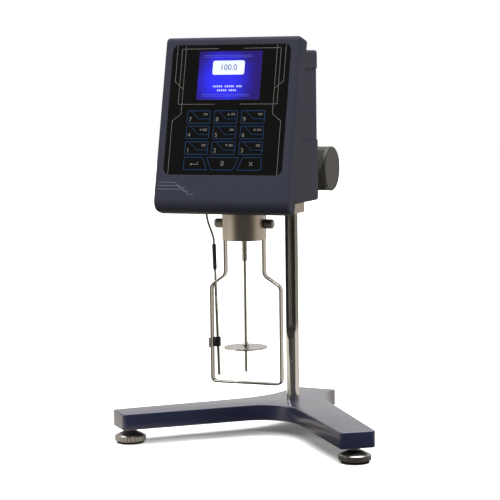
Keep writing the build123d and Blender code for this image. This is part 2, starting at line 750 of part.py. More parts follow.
chip_height = 3.0
with BuildPart() as main_board:
    with BuildSketch(face_plane(board_depth)):
        with Locations((0, board_middle)):
            Rectangle(2 * board_half_width, 2 * board_half_height)
    extrude(amount=-board_thickness)
    with BuildSketch(face_plane(board_depth + board_thickness)):
        with Locations((-22.0, board_middle + 18.0)):
            Rectangle(18.0, 18.0)
        with Locations((24.0, board_middle + 26.0)):
            Rectangle(12.0, 26.0)
        with Locations((-40.0, board_middle - 32.0), (40.0, board_middle - 26.0)):
            Rectangle(22.0, 7.0)
    extrude(amount=-chip_height)
main_board.part.label = "main_board"

with BuildPart(level(body_top, 0, level_y)) as level_bezel:
    Cylinder(bezel_radius, bezel_height, align=UP)
    chamfer(level_bezel.faces().sort_by(Axis.Z)[-1].edges(), 0.8)
    Cylinder(vial_radius, bezel_height, align=UP, mode=Mode.SUBTRACT)
level_bezel.part.label = "level_bezel"

with BuildPart(level(body_top, 0, level_y)) as level_vial:
    Cylinder(vial_radius - seat_gap, vial_height, align=UP)
    chamfer(level_vial.faces().sort_by(Axis.Z)[-1].edges(), 0.5)
level_vial.part.label = "level_vial"

# ---------------------------------------------------------------- chassis and measuring drive
bearing_radius = 9.0
hub_radius = 5.0
motor_x = gear_module * (drive_teeth + motor_teeth) / 2
motor_shaft = 2.0
shaft_in_motor = 16.0
pillar_x = motor_x / 2 + plate_overhang - pillar_inset
pillar_y = plate_length / 2 - pillar_inset
pillar_places = [(motor_x / 2 + x, axis_y + y) for x in (-pillar_x, pillar_x) for y in (-pillar_y, pillar_y)]

with BuildPart() as chassis:
    with BuildSketch(level(chassis_bottom)):
        with Locations((0, chassis_back)):
            Rectangle(2 * chassis_half_width, chassis_length, align=(Align.CENTER, Align.MAX))
    extrude(amount=chassis_thickness)
    with BuildSketch(facing(rear_plate_back)):
        with Locations((0, chassis_bottom)):
            Rectangle(rear_plate_width, lower_seam - chassis_bottom, align=(Align.CENTER, Align.MIN))
    extrude(amount=rear_plate_thickness)
    with BuildSketch(level(chassis_top, 0, axis_y)):
        Circle(collar_radius)
    extrude(amount=collar_height)
    with BuildSketch(level(chassis_bottom, 0, axis_y)):
        Circle(spigot_radius + seat_gap)
    extrude(amount=spigot_top - chassis_bottom, mode=Mode.SUBTRACT)
    with BuildSketch(level(chassis_bottom, 0, axis_y)):
        Circle(bearing_radius + seat_gap)
    extrude(amount=collar_top - chassis_bottom, mode=Mode.SUBTRACT)
    with BuildSketch(level(chassis_bottom)):
        with Locations(*housing_screw_places):
            Circle(housing_screw_radius + seat_gap)
        with Locations((socket_x, probe_y)):
            Circle(socket_radius + 1.0)
    extrude(amount=chassis_thickness, mode=Mode.SUBTRACT)
    with BuildSketch(facing(rear_plate_front)):
        with Locations(*arm_screw_places):
            Circle(2.0 + seat_gap)
        with Locations((0, arm_height)):
            Circle(arm_radius + seat_gap)
    extrude(amount=-rear_plate_thickness, mode=Mode.SUBTRACT)
chassis.part.label = "chassis"

screw_head_height = 1.7
with BuildPart() as housing_screws:
    with BuildSketch(level(housing_bottom)):
        with Locations(*housing_screw_places):
            Circle(2.8)
    extrude(amount=-screw_head_height)
    with BuildSketch(level(housing_bottom)):
        with Locations(*housing_screw_places):
            Circle(housing_screw_radius)
    extrude(amount=shell_wall + chassis_thickness - 0.6)
    with BuildSketch(level(housing_bottom - screw_head_height)):
        with Locations(*housing_screw_places):
            Rectangle(3.2, 0.7)
            Rectangle(0.7, 3.2)
    extrude(amount=0.9, mode=Mode.SUBTRACT)
housing_screws.part.label = "housing_screws"

with BuildPart() as plate_pillars:
    with BuildSketch(level(chassis_top)):
        with Locations(*pillar_places):
            RegularPolygon(pillar_radius, 6)
    extrude(amount=plate_bottom - chassis_top)
plate_pillars.part.label = "plate_pillars"

with BuildPart() as motor_plate:
    with BuildSketch(level(plate_bottom)):
        with Locations((motor_x / 2, axis_y)):
            RectangleRounded(motor_x + 2 * plate_overhang, plate_length, plate_corner)
        with Locations((0, axis_y)):
            Circle(hub_radius + seat_gap, mode=Mode.SUBTRACT)
        with Locations((motor_x, axis_y)):
            Circle(8.0, mode=Mode.SUBTRACT)
    extrude(amount=plate_depth)
motor_plate.part.label = "motor_plate"

with BuildPart(level(plate_bottom + plate_depth, motor_x, axis_y)) as motor:
    Cylinder(motor_radius, motor_length, align=UP)
    chamfer(motor.faces().sort_by(Axis.Z)[-1].edges(), 1.2)
    Cylinder(motor_shaft + slide_gap, shaft_in_motor + 2.0, align=UP, mode=Mode.SUBTRACT)
motor.part.label = "motor"

with BuildPart() as motor_pinion:
    with BuildSketch(level(gear_bottom, motor_x, axis_y)):
        with BuildLine():
            Polyline(*gear_points(motor_teeth, gear_module, 180.0), close=True)
        make_face()
    extrude(amount=gear_thickness)
    with BuildSketch(level(gear_bottom, motor_x, axis_y)):
        Circle(motor_shaft)
    extrude(amount=plate_bottom + plate_depth + shaft_in_motor - gear_bottom)
motor_pinion.part.label = "motor_pinion"

with BuildPart(level(spigot_top + 0.5, 0, axis_y)) as drive_bearing:
    Cylinder(bearing_radius, collar_top - spigot_top - 0.5, align=UP)
    Cylinder(hub_radius + slide_gap, collar_top - spigot_top, align=UP, mode=Mode.SUBTRACT)
drive_bearing.part.label = "drive_bearing"

spring_low = gear_bottom + gear_thickness + 1.2
spring_height = 1.8
spring_outer = 10.5
collet_radius = 3.0
post_pin_radius = 0.9
with BuildPart() as drive_gear:
    with BuildSketch(level(gear_bottom, 0, axis_y)):
        with BuildLine():
            Polyline(*gear_points(drive_teeth, gear_module, 180.0 / drive_teeth), close=True)
        make_face()
    extrude(amount=gear_thickness)
    with BuildSketch(level(spigot_top + 0.6, 0, axis_y)):
        Circle(hub_radius)
    extrude(amount=gear_bottom - spigot_top - 0.6)
    with BuildSketch(level(collar_top + face_gap, 0, axis_y)):
        Circle(8.0)
    extrude(amount=gear_bottom - collar_top - face_gap)
    with BuildSketch(level(gear_bottom + gear_thickness, spring_outer + post_pin_radius, axis_y)):
        Circle(post_pin_radius)
    extrude(amount=spring_low + spring_height - gear_bottom - gear_thickness)
    with BuildSketch(level(spigot_top, 0, axis_y)):
        Circle(pivot_radius + slide_gap)
    extrude(amount=gear_bottom + gear_thickness - spigot_top, mode=Mode.SUBTRACT)
drive_gear.part.label = "drive_gear"

spring_turns, spring_steps, spring_leaf = 3, 16, 0.3


def spiral(offset):
    """Points along one edge of the spring's leaf, from the collet out to the pin."""
    count = spring_turns * spring_steps
    start = collet_radius + slide_gap
    growth = (spring_outer - spring_leaf - start) / count
    return [((start + growth * i + offset) * cos(2 * pi * i / spring_steps),
             (start + growth * i + offset) * sin(2 * pi * i / spring_steps)) for i in range(count + 1)]


with BuildPart() as torsion_spring:
    with BuildSketch(level(spring_low, 0, axis_y)):
        with BuildLine():
            Polyline(*(spiral(0.0) + spiral(spring_leaf)[::-1]), close=True)
        make_face()
    extrude(amount=spring_height)
torsion_spring.part.label = "torsion_spring"

disc_low = plate_bottom + plate_depth + 5.0
pivot_top = disc_low + 6.0
shaft_above_joint = 4.0         # the shaft's lower end, inside the coupling
shaft_low = coupling_joint + shaft_above_joint
with BuildPart(level(shaft_low, 0, axis_y)) as pivot_shaft:
    Cylinder(pivot_radius, pivot_top - shaft_low, align=UP)
    with Locations((0, 0, spring_low - shaft_low)):
        Cylinder(collet_radius, spring_height + 1.0, align=UP)
    chamfer(pivot_shaft.faces().sort_by(Axis.Z)[-1].edges(), 0.4)
pivot_shaft.part.label = "pivot_shaft"

with BuildPart(level(plate_bottom, 0, axis_y)) as upper_bearing:
    Cylinder(hub_radius, plate_depth + 0.6, align=UP)
    Cylinder(pivot_radius + slide_gap, plate_depth + 0.6, align=UP, mode=Mode.SUBTRACT)
upper_bearing.part.label = "upper_bearing"

signal_radius = 12.8
with BuildPart(level(disc_low, 0, axis_y)) as signal_disc:
    Cylinder(signal_radius, 0.8, align=UP)
    Cylinder(4.0, 3.6, align=UP)
    with PolarLocations(signal_radius - 2.0, 12):
        Box(2.0, 1.2, 4.0, mode=Mode.SUBTRACT)
    Cylinder(pivot_radius + seat_gap, 4.0, align=UP, mode=Mode.SUBTRACT)
signal_disc.part.label = "signal_disc"

sensor_low = plate_bottom + plate_depth
sensor_back, sensor_throat, sensor_front = -20.0, -(signal_radius + 1.4), -9.0
with BuildPart() as optical_sensor:
    with BuildSketch(facing(axis_y)):
        with BuildLine():
            Polyline((sensor_back, sensor_low), (sensor_front, sensor_low), (sensor_front, disc_low - 1.2),
                     (sensor_throat, disc_low - 1.2), (sensor_throat, disc_low + 2.0),
                     (sensor_front, disc_low + 2.0), (sensor_front, disc_low + 5.0),
                     (sensor_back, disc_low + 5.0), close=True)
        make_face()
    extrude(amount=4.0, both=True)
optical_sensor.part.label = "optical_sensor"

# ---------------------------------------------------------------- guard mount, guard and spindle
mount_bore = 6.5
slot_floor = mount_radius - strip_thickness
thumb_shank = 2.0
strip_hole = 2.25

with BuildPart(level(mount_bottom, 0, axis_y)) as guard_mount:
    Cylinder(mount_radius, housing_bottom - mount_bottom, align=UP)
    chamfer(guard_mount.faces().sort_by(Axis.Z)[0].edges(), 0.6)
    with Locations((0, 0, housing_bottom - mount_bottom)):
        Cylinder(spigot_radius, spigot_height, align=UP)
    Cylinder(mount_bore, spigot_top - mount_bottom, align=UP, mode=Mode.SUBTRACT)
    for direction in (-1, 1):
        with BuildSketch(level(mount_bottom, direction * (slot_floor + 5.0), axis_y)):
            Rectangle(10.0, strip_width + 0.1)
        extrude(amount=housing_bottom - mount_bottom, mode=Mode.SUBTRACT)
    with BuildSketch(side(-mount_radius, axis_y, thumb_height)):
        Circle(thumb_shank + slide_gap)
    extrude(amount=9.0, mode=Mode.SUBTRACT)
    with BuildSketch(side(mount_radius - 9.0, axis_y, thumb_height)):
        Circle(thumb_shank + slide_gap)
    extrude(amount=9.0, mode=Mode.SUBTRACT)
guard_mount.part.label = "guard_mount"

guard_spare = 8.0               # cut off above the guard's ends
guard_right = [(guard_half_width, guard_bottom), (guard_half_width, joggle_bottom),
               (mount_radius, joggle_top), (mount_radius, guard_top + guard_spare)]
guard_points = [(-x, z) for x, z in guard_right[::-1]] + guard_right
with BuildPart() as guard:
    with BuildSketch(facing(axis_y)):
        with BuildLine():
            FilletPolyline(*guard_points, radius=4.0, close=True)
        make_face()
        offset(amount=-strip_thickness, kind=Kind.INTERSECTION, mode=Mode.SUBTRACT)
        with Locations((0, guard_top)):
            Rectangle(4 * mount_radius, 2 * guard_spare, align=(Align.CENTER, Align.MIN),
                      mode=Mode.SUBTRACT)
    extrude(amount=strip_width / 2, both=True)
    with BuildSketch(side(-mount_radius - 1, axis_y, thumb_height)):
        Circle(strip_hole)
    extrude(amount=2 * mount_radius + 2, mode=Mode.SUBTRACT)
guard.part.label = "guard"

thumb_radius, thumb_length = 5.1, 10.0


def thumb_screw(direction):
    """Knurled screw that clamps one end of the guard, left (-1) or right (1)."""
    outer = mount_radius + face_gap
    with BuildPart() as screw:
        with BuildSketch(facing(axis_y, 0, thumb_height)):
            with BuildLine():
                Polyline((outer, 0), (outer, thumb_radius - 0.5), (outer + 0.5, thumb_radius),
                         (outer + thumb_length - 2.2, thumb_radius))
                RadiusArc((outer + thumb_length - 2.2, thumb_radius), (outer + thumb_length, 3.4), 2.6)
                Polyline((outer + thumb_length, 3.4), (outer + thumb_length, 0), (outer, 0))
            make_face()
        revolve(axis=Axis((post_x, post_y + axis_y, thumb_height), (1, 0, 0)))
        with BuildSketch(side(mount_radius - 8.5, axis_y, thumb_height)):
            Circle(thumb_shank)
        extrude(amount=10.0)
        if direction < 0:
            mirror(about=side(0.0), mode=Mode.REPLACE)
    return screw


guard_screw_left = thumb_screw(-1)
guard_screw_left.part.label = "guard_screw_left"
guard_screw_right = thumb_screw(1)
guard_screw_right.part.label = "guard_screw_right"

coupling_radius, coupling_length = 2.85, 24.0
with BuildPart(level(coupling_joint, 0, axis_y)) as spindle_coupling:
    Cylinder(coupling_radius, coupling_length, align=UP)
    chamfer(spindle_coupling.edges().filter_by(GeomType.CIRCLE), 0.3)
    with BuildSketch(level(coupling_joint + 6.7, 0, axis_y)):
        Circle(coupling_radius)
        Circle(coupling_radius - 0.25, mode=Mode.SUBTRACT)
    extrude(amount=0.6, mode=Mode.SUBTRACT)
    with Locations((0, 0, shaft_above_joint)):
        Cylinder(pivot_radius + seat_gap, coupling_length - shaft_above_joint, align=UP, mode=Mode.SUBTRACT)
spindle_coupling.part.label = "spindle_coupling"

disc_top = disc_height + disc_thickness / 2
disc_under = disc_height - disc_thickness / 2
with BuildPart() as spindle:
    with BuildSketch(facing(axis_y)):
        with BuildLine():
            Polyline((0, coupling_joint), (2.3, coupling_joint), (2.3, coupling_joint - 0.9),
                     (coupling_radius, coupling_joint - 1.4), (coupling_radius, spindle_head + 1.6),
                     (shaft_radius, spindle_head), (shaft_radius, disc_top + 6.5), (3.2, disc_top + 2.2),
                     (3.6, disc_top), (disc_radius - 0.2, disc_top), (disc_radius, disc_top - 0.2),
                     (disc_radius, disc_under + 0.2), (disc_radius - 0.2, disc_under), (2.6, disc_under),
                     (2.6, disc_under - 3.4), (shaft_radius, disc_under - 4.2),
                     (shaft_radius, spindle_tip + 1.0), (shaft_radius - 1.0, spindle_tip),
                     (0, spindle_tip), close=True)
        make_face()
    revolve(axis=Axis((post_x, post_y + axis_y, 0), (0, 0, 1)))
spindle.part.label = "spindle"

with BuildPart(level(spigot_top - 5.0, 0, axis_y)) as jewel_bearing:
    Cylinder(mount_bore - seat_gap, 5.0, align=UP)
    Cylinder(pivot_radius + slide_gap, 5.0, align=UP, mode=Mode.SUBTRACT)
jewel_bearing.part.label = "jewel_bearing"

# ---------------------------------------------------------------- temperature probe
rise = Vector(probe_top[0] - probe_tip[0], 0, probe_top[1] - probe_tip[1])
probe_plane = Plane(origin=(post_x + probe_tip[0], post_y + probe_y, probe_tip[1]),
                    x_dir=(0, 1, 0), z_dir=rise)
sleeve_start = rise.length - sleeve_length

with BuildPart(probe_plane) as probe_rod:
    Cylinder(probe_radius, sleeve_start + 2.0, align=UP)
    fillet(probe_rod.faces().sort_by(Axis.Z)[0].edges(), 1.0)
probe_rod.part.label = "probe_rod"

with BuildPart(probe_plane.offset(sleeve_start)) as probe_sleeve:
    Cylinder(sleeve_radius, sleeve_length, align=UP)
    chamfer(probe_sleeve.faces().sort_by(Axis.Z)[-1].edges(), 0.4)
    Cylinder(probe_radius + seat_gap, 2.0, align=UP, mode=Mode.SUBTRACT)
probe_sleeve.part.label = "probe_sleeve"

socket_bottom = housing_bottom - socket_length
with BuildPart(level(socket_bottom, socket_x, probe_y)) as probe_socket:
    Cylinder(socket_radius, housing_bottom - socket_bottom, align=UP)
    chamfer(probe_socket.faces().sort_by(Axis.Z)[0].edges(), 1.2)
    with Locations((0, 0, housing_bottom - socket_bottom)):
        Cylinder(socket_radius - 0.9, 4.0, align=UP)
probe_socket.part.label = "probe_socket"

lead_end = Vector(probe_top[0], probe_y, probe_top[1])
lead_out = lead_end + rise.normalized() * 6.5
lead_route = [(socket_x, probe_y, socket_bottom), (socket_x, probe_y, socket_bottom - 7.8),
              (socket_x + 2.3, probe_y, socket_bottom - 17.4),
              (socket_x + 5.9, probe_y, socket_bottom - 26.0), tuple(lead_out), tuple(lead_end)]
lead_radii = arc_radii(lead_route)
lead_points = [(post_x + x, post_y + y, z) for x, y, z in lead_route]
with BuildPart() as probe_lead:
    with BuildLine() as lead_line:
        FilletPolyline(*lead_points, radius=lead_radii)
    with BuildSketch(Plane(origin=lead_line.line @ 0, z_dir=lead_line.line % 0)):
        Circle(lead_radius)
    sweep(path=lead_line.line)
probe_lead.part.label = "probe_lead"

strip_x = -(guard_half_width - strip_thickness / 2)
band_wall = 0.8
clip_length = 9.4
rod_x = probe_tip[0] + rise.X * (clip_height - probe_tip[1]) / rise.Z
with BuildPart() as probe_clip:
    with BuildSketch(level(clip_height - clip_length / 2)):
        with Locations((strip_x, axis_y)):
            Rectangle(strip_thickness + 2 * band_wall, strip_width + 2 * band_wall)
        with Locations(((strip_x + rod_x) / 2, axis_y + strip_width / 2 - 0.6)):
            Rectangle(rod_x - strip_x - 2.0, 2.8)
        with Locations((rod_x, probe_y)):
            Circle(probe_radius + 1.5)
    extrude(amount=clip_length)
    with BuildSketch(level(clip_height - clip_length / 2)):
        with Locations((strip_x, axis_y)):
            Rectangle(strip_thickness, strip_width)
        with Locations((rod_x, probe_y)):
            Circle(probe_radius + 0.25)
    extrude(amount=clip_length, mode=Mode.SUBTRACT)
probe_clip.part.label = "probe_clip"

# ---------------------------------------------------------------- rear connections
inlet_pins = [(-7.0, -3.6), (7.0, -3.6), (0.0, 0.4)]
with BuildPart() as mains_inlet:
    with BuildSketch(facing(body_back)):
        with Locations((inlet_x, inlet_z)):
            RectangleRounded(inlet_width + 5.0, inlet_height + 3.0, 3.0)
    extrude(amount=-2.0)
    with BuildSketch(facing(body_back)):
        with Locations((inlet_x, inlet_z)):
            Rectangle(inlet_width, inlet_height)
    extrude(amount=20.0)
    with BuildSketch(facing(body_back + 2.0)):
        with Locations((inlet_x, inlet_z)):
            RectangleRounded(24.4, 16.4, 2.0)
    extrude(amount=16.0, mode=Mode.SUBTRACT)
    with BuildSketch(facing(body_back - 14.5)):
        with Locations(*[(inlet_x + x, inlet_z + z) for x, z in inlet_pins]):
            Rectangle(2.0, 4.0)
    extrude(amount=-13.0)
mains_inlet.part.label = "mains_inlet"

rocker_width, rocker_half_height = 15.0, 4.0
rocker_rise = 4.2               # from the rocker's pin to its outer corners
rocker_lean = radians(9.0)      # either way, between on and off
rocker_pivot_y = body_back - 2.0
with BuildPart() as power_switch:
    with BuildSketch(facing(body_back)):
        with Locations((inlet_x, switch_z)):
            RectangleRounded(switch_width + 2.6, switch_height + 2.6, 1.5)
    extrude(amount=-1.6)
    with BuildSketch(facing(body_back)):
        with Locations((inlet_x, switch_z)):
            Rectangle(switch_width, switch_height)
    extrude(amount=16.0)
    with BuildSketch(facing(body_back + 1.6)):
        with Locations((inlet_x, switch_z)):
            Rectangle(rocker_width + 0.8, 2 * rocker_half_height + 2.2)
    extrude(amount=9.6, mode=Mode.SUBTRACT)
    with BuildSketch(side(inlet_x - rocker_width / 2 - 0.4, rocker_pivot_y, switch_z)):
        Circle(1.0 - slide_gap)
    extrude(amount=rocker_width + 0.8)
power_switch.part.label = "power_switch"

rocker_plane = Plane(origin=(post_x + inlet_x - rocker_width / 2, post_y + rocker_pivot_y, switch_z),
                     x_dir=(0, cos(rocker_lean), sin(rocker_lean)), z_dir=(1, 0, 0))
with BuildPart() as switch_rocker:
    with BuildSketch(rocker_plane):
        with BuildLine():
            Polyline((-2.4, -2.2), (rocker_rise, -rocker_half_height), (rocker_rise - 1.2, 0.0),
                     (rocker_rise, rocker_half_height), (-2.4, 2.2), close=True)
        make_face()
    extrude(amount=rocker_width)
    with BuildSketch(side(inlet_x - rocker_width / 2, rocker_pivot_y, switch_z)):
        Circle(1.0)
    extrude(amount=rocker_width, mode=Mode.SUBTRACT)
switch_rocker.part.label = "switch_rocker"

with BuildPart() as data_port:
    with BuildSketch(facing(body_back)):
        with Locations((port_x, port_z)):
            Rectangle(port_width + 1.6, port_height + 1.6)
    extrude(amount=-0.8)
    with BuildSketch(facing(body_back)):
        with Locations((port_x, port_z)):
            Rectangle(port_width, port_height)
    extrude(amount=14.0)
    with BuildSketch(facing(body_back + 0.8)):
        with Locations((port_x, port_z)):
            Rectangle(8.5, 7.8)
    extrude(amount=10.0, mode=Mode.SUBTRACT)
    with BuildSketch(facing(body_back - 9.2)):
        with Locations((port_x, port_z)):
            Rectangle(5.6, 3.2)
    extrude(amount=-8.0)
data_port.part.label = "data_port"

# ---------------------------------------------------------------- export
pieces = [
    base_plate, post_bolt, *feet, post, rack_strip,
    clamp_block, pinion_bushes, lift_pinion, lift_knob, knob_cap, drag_screw, drag_shoe,
    arm_rod, arm_screws, arm_clamp_screw,
    bottom_housing, middle_wrap, top_cap, front_cover, panel_sheet, screen_window, display_module,
    keypad_board, main_board, level_bezel, level_vial,
    chassis, housing_screws, plate_pillars, motor_plate, motor, motor_pinion, drive_bearing, drive_gear,
    torsion_spring, pivot_shaft, upper_bearing, signal_disc, optical_sensor, jewel_bearing,
    guard_mount, guard, guard_screw_left, guard_screw_right, spindle_coupling, spindle,
    probe_rod, probe_sleeve, probe_socket, probe_lead, probe_clip,
    mains_inlet, power_switch, switch_rocker, data_port,
]

os.makedirs("parts", exist_ok=True)
for piece in pieces:
    export_step(piece.part, f"parts/{piece.part.label}.step")

print("lead arc radii:", [round(radius, 1) for radius in lead_radii])
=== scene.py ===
"""Finishes a bench rotational viscometer: cast base, bent guard, surfaces, printed marks and a studio."""
import math

import bmesh
import bpy
from bpy.props import FloatProperty, FloatVectorProperty, IntProperty, PointerProperty
from mathutils import Matrix, Vector


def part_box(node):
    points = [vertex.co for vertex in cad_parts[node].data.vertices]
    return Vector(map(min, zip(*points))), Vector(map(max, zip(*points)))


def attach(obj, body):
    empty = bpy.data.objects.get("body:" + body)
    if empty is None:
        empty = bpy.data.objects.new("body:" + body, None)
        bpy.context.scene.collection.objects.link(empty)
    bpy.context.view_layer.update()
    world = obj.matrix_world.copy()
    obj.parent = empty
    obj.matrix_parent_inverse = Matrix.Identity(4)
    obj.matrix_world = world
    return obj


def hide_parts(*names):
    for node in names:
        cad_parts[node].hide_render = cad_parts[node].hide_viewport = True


bl_info = {
    "name": "Rotational Viscometer",
    "version": (1, 0, 0),
    "blender": (4, 5, 0),
    "location": "3D View > Sidebar > Viscometer",
    "description": "Finishes, printed panel, lit display and studio for a bench viscometer",
    "category": "Object",
}

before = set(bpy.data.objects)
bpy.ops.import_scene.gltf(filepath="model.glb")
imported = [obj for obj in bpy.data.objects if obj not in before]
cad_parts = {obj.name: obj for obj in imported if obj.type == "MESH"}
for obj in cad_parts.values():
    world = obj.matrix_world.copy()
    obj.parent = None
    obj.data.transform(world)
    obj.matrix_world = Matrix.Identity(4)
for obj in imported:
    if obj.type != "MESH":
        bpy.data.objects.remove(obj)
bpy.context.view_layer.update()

# ---------------------------------------------------------------- places taken from the imported parts

FACE_TILT = math.radians(13.8)
FACE_RIGHT = Vector((1.0, 0.0, 0.0))
FACE_UP = Vector((0.0, math.sin(FACE_TILT), math.cos(FACE_TILT)))
FACE_OUT = Vector((0.0, -math.cos(FACE_TILT), math.sin(FACE_TILT)))


def outer_point(node):
    """Middle of a sloped sheet's outer face."""
    low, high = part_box(node)
    middle = (low + high) / 2
    reach = max(vertex.co.dot(FACE_OUT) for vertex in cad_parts[node].data.vertices)
    return middle + (reach - middle.dot(FACE_OUT)) * FACE_OUT


def middle_of(node):
    """Middle of a node's box."""
    low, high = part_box(node)
    return (low + high) / 2


SHEET_MIDDLE = outer_point("panel_sheet")
SCREEN_MIDDLE = outer_point("screen_window")
COVER_MIDDLE = outer_point("front_cover")
SPINDLE_AXIS = middle_of("spindle")
POST_AXIS = middle_of("post")


def sloped(origin):
    """Matrix from flat drawing space to the sloped front: x to the right, y up the slope, z out of it."""
    turn = Matrix((FACE_RIGHT, FACE_UP, FACE_OUT)).transposed().to_4x4()
    return Matrix.Translation(origin) @ turn


# ---------------------------------------------------------------- user settings


def colour(name, description, value):
    return FloatVectorProperty(name=name, description=description, subtype="COLOR", size=3, min=0.0, max=1.0,
                               default=value)


def length(name, description, value):
    return FloatProperty(name=name, description=description, unit="LENGTH", precision=5, min=0.0,
                         default=value)


def angle(name, description, degrees):
    return FloatProperty(name=name, description=description, unit="ROTATION", default=math.radians(degrees))


def number(name, description, value, least=0.0, most=1000.0, unit="NONE"):
    return FloatProperty(name=name, description=description, default=value, min=least, max=most, unit=unit)


class StandFinish(bpy.types.PropertyGroup):
    """Surfaces of the base, the post and the feet."""

    enamel: colour("Enamel", "Navy enamel of the base", (0.010, 0.0130, 0.042))
    # The enamel's edge colour is a painted highlight: a brighter blue laid along the base's rounded edges.
    enamel_edge_highlight: colour("Enamel Edge Highlight", "Thin enamel on the edges of the base", (0.030, 0.045, 0.24))
    chrome: colour("Chrome", "Plating of the post", (0.62, 0.61, 0.59))
    foot_steel: colour("Foot Steel", "Turned levelling feet", (0.48, 0.465, 0.435))
    rack_steel: colour("Rack Steel", "Rack let into the post", (0.46, 0.43, 0.37))


class BaseShape(bpy.types.PropertyGroup):
    """Outline of the cast base, from the post's axis, with the back leg along Y."""

    splay: angle("Splay", "Each front leg from the middle line", 41.6)
    junction: length("Junction", "Where the legs' middle lines meet, behind the post", 0.0176)
    reach: length("Reach", "Front leg's length from the junction", 0.2203)
    leg_end: length("Leg End", "Front leg's width at its end", 0.0388)
    leg_root: length("Leg Root", "Front leg's width at the junction", 0.0500)
    back_end: length("Back End", "End of the back leg behind the post", 0.0818)
    back_left: length("Back Left", "Left side of the back leg from the middle line", 0.0360)
    back_right: length("Back Right", "Right side of the back leg from the middle line", 0.0172)
    crotch: length("Crotch", "Radius between the front legs", 0.0460)
    flank_left: length("Left Flank", "Radius between the left and the back leg", 0.1190)
    flank_right: length("Right Flank", "Radius between the right and the back leg", 0.1000)
    corner: length("Corner", "Radius of a leg's end corners", 0.0045)
    edge: length("Edge", "Rounding of the top and bottom edges", 0.0014)
    seat_gap: length("Seat Gap", "Gap round the post in its seat", 0.00005)
    recess_gap: length("Recess Gap", "Gap round the bolt's head in its recess", 0.001)
    recess_depth: length("Recess Depth", "Height of the recess for the bolt's head", 0.0056)
    bore: length("Bore", "Radius of the bolt's and the studs' holes", 0.0041)


class BarShape(bpy.types.PropertyGroup):
    """Milled flat of the post and bent strip of the guard."""

    flat: length("Flat", "Milled flat from the post's axis", 0.0046)
    flat_above: length("Flat Above", "Full flat's end below the rack", 0.0045)
    run_out: length("Run Out", "Length over which the cutter leaves the post", 0.0125)
    post_bevel: length("Post Bevel", "Bevel of the post's top", 0.0012)
    strip_width: length("Strip Width", "Width of the guard's strip", 0.0080)
    strip_thickness: length("Strip Thickness", "Thickness of the guard's strip", 0.0021)
    strip_edge: length("Strip Edge", "Rounding of the strip's edges", 0.0004)
    joggle_top: length("Joggle Top", "Upper bend above the guard's lowest point", 0.1187)
    joggle_bottom: length("Joggle Bottom", "Lower bend above the guard's lowest point", 0.1068)
    bend: length("Bend", "Middle radius of the joggle's bends", 0.0078)
    foot_bend: length("Foot Bend", "Middle radius of the bottom corners", 0.0052)
    guard_left: length("Guard Left", "Left arm's middle from the spindle's axis", 0.0390)
    guard_right: length("Guard Right", "Right arm's middle from the spindle's axis", 0.0411)
    guard_rise: length("Guard Rise", "Lowest point of the guard above its packed solid", 0.0009)
    groove_gap: length("Groove Gap", "Gap at each side of the rack in its groove", 0.00002)


class ProbeShape(bpy.types.PropertyGroup):
    """How much fuller the probe's thin pieces stand than their solids."""

    rod: length("Rod", "Growth of the probe's rod", 0.0003)
    sleeve: length("Sleeve", "Growth of the sleeve at the rod's top", 0.0007)
    lead: length("Lead", "Growth of the thin lead", 0.0004)
    clip: length("Clip", "Growth of the clip on the guard", 0.0006)
    clip_share: number("Clip Share", "Width of the clip as a share of its solid's", 0.82, 0.1, 1.0)


class HeadFinish(bpy.types.PropertyGroup):
    """Surfaces of the measuring head and its clamp."""

    shell: colour("Shell", "Satin blue-grey moulding", (0.0305, 0.0325, 0.0485))
    # The shell's edge colour is a painted highlight along the moulding's rounded edges.
    shell_edge_highlight: colour("Shell Edge Highlight", "Polished edge of the moulding", (0.05, 0.055, 0.085))
    sheet: colour("Sheet", "Black printed front sheet", (0.0035, 0.0034, 0.0034))
    knob: colour("Knob", "Charcoal plastic of the knob", (0.021, 0.0205, 0.017))
    anodised: colour("Anodised", "Warm grey anodised metal", (0.40, 0.36, 0.31))
    steel: colour("Steel", "Polished strip guard and spindle", (0.60, 0.57, 0.53))
    knob_edge: colour("Knob Edge", "Rubbed edge of the knob", (0.09, 0.088, 0.08))
    arm: colour("Arm", "Plating of the arm", (0.6, 0.59, 0.57))
    screws: colour("Thumb Screws", "Steel of the guard's thumb screws", (0.40, 0.365, 0.32))
    lead: colour("Lead", "Sheath of the probe's lead", (0.24, 0.225, 0.19))
    lead_edge: colour("Lead Edge", "Rubbed sheath of the lead", (0.34, 0.32, 0.27))


class PanelPrint(bpy.types.PropertyGroup):
    """Marks printed on the front sheet."""

    ink: colour("Ink", "Pale ink of the trim lines and numerals", (0.165, 0.16, 0.148))
    key_ink: colour("Key Ink", "Blue ink of the key outlines", (0.004, 0.028, 0.085))
    chin_ink: colour("Chin Ink", "Pale ink of the stripes on the chin", (0.16, 0.17, 0.22))
    ink_height: length("Ink Height", "Height of the ink above the sheet", 0.00004)
    trim_width: length("Trim Width", "Width of a trim line", 0.00042)
    key_line: length("Key Line", "Width of a key's outline", 0.00075)
    key_width: length("Key Width", "Width of a number key", 0.0257)
    key_height: length("Key Height", "Height of a key", 0.0133)
    key_column: length("Key Column", "Distance between key columns", 0.0306)
    key_row: length("Key Row", "Distance between key rows", 0.0165)
    lowest_row: length("Lowest Row", "Lowest key row below the middle of the sheet", 0.0641)
    numeral: length("Numeral", "Height of a numeral's type size", 0.0066)


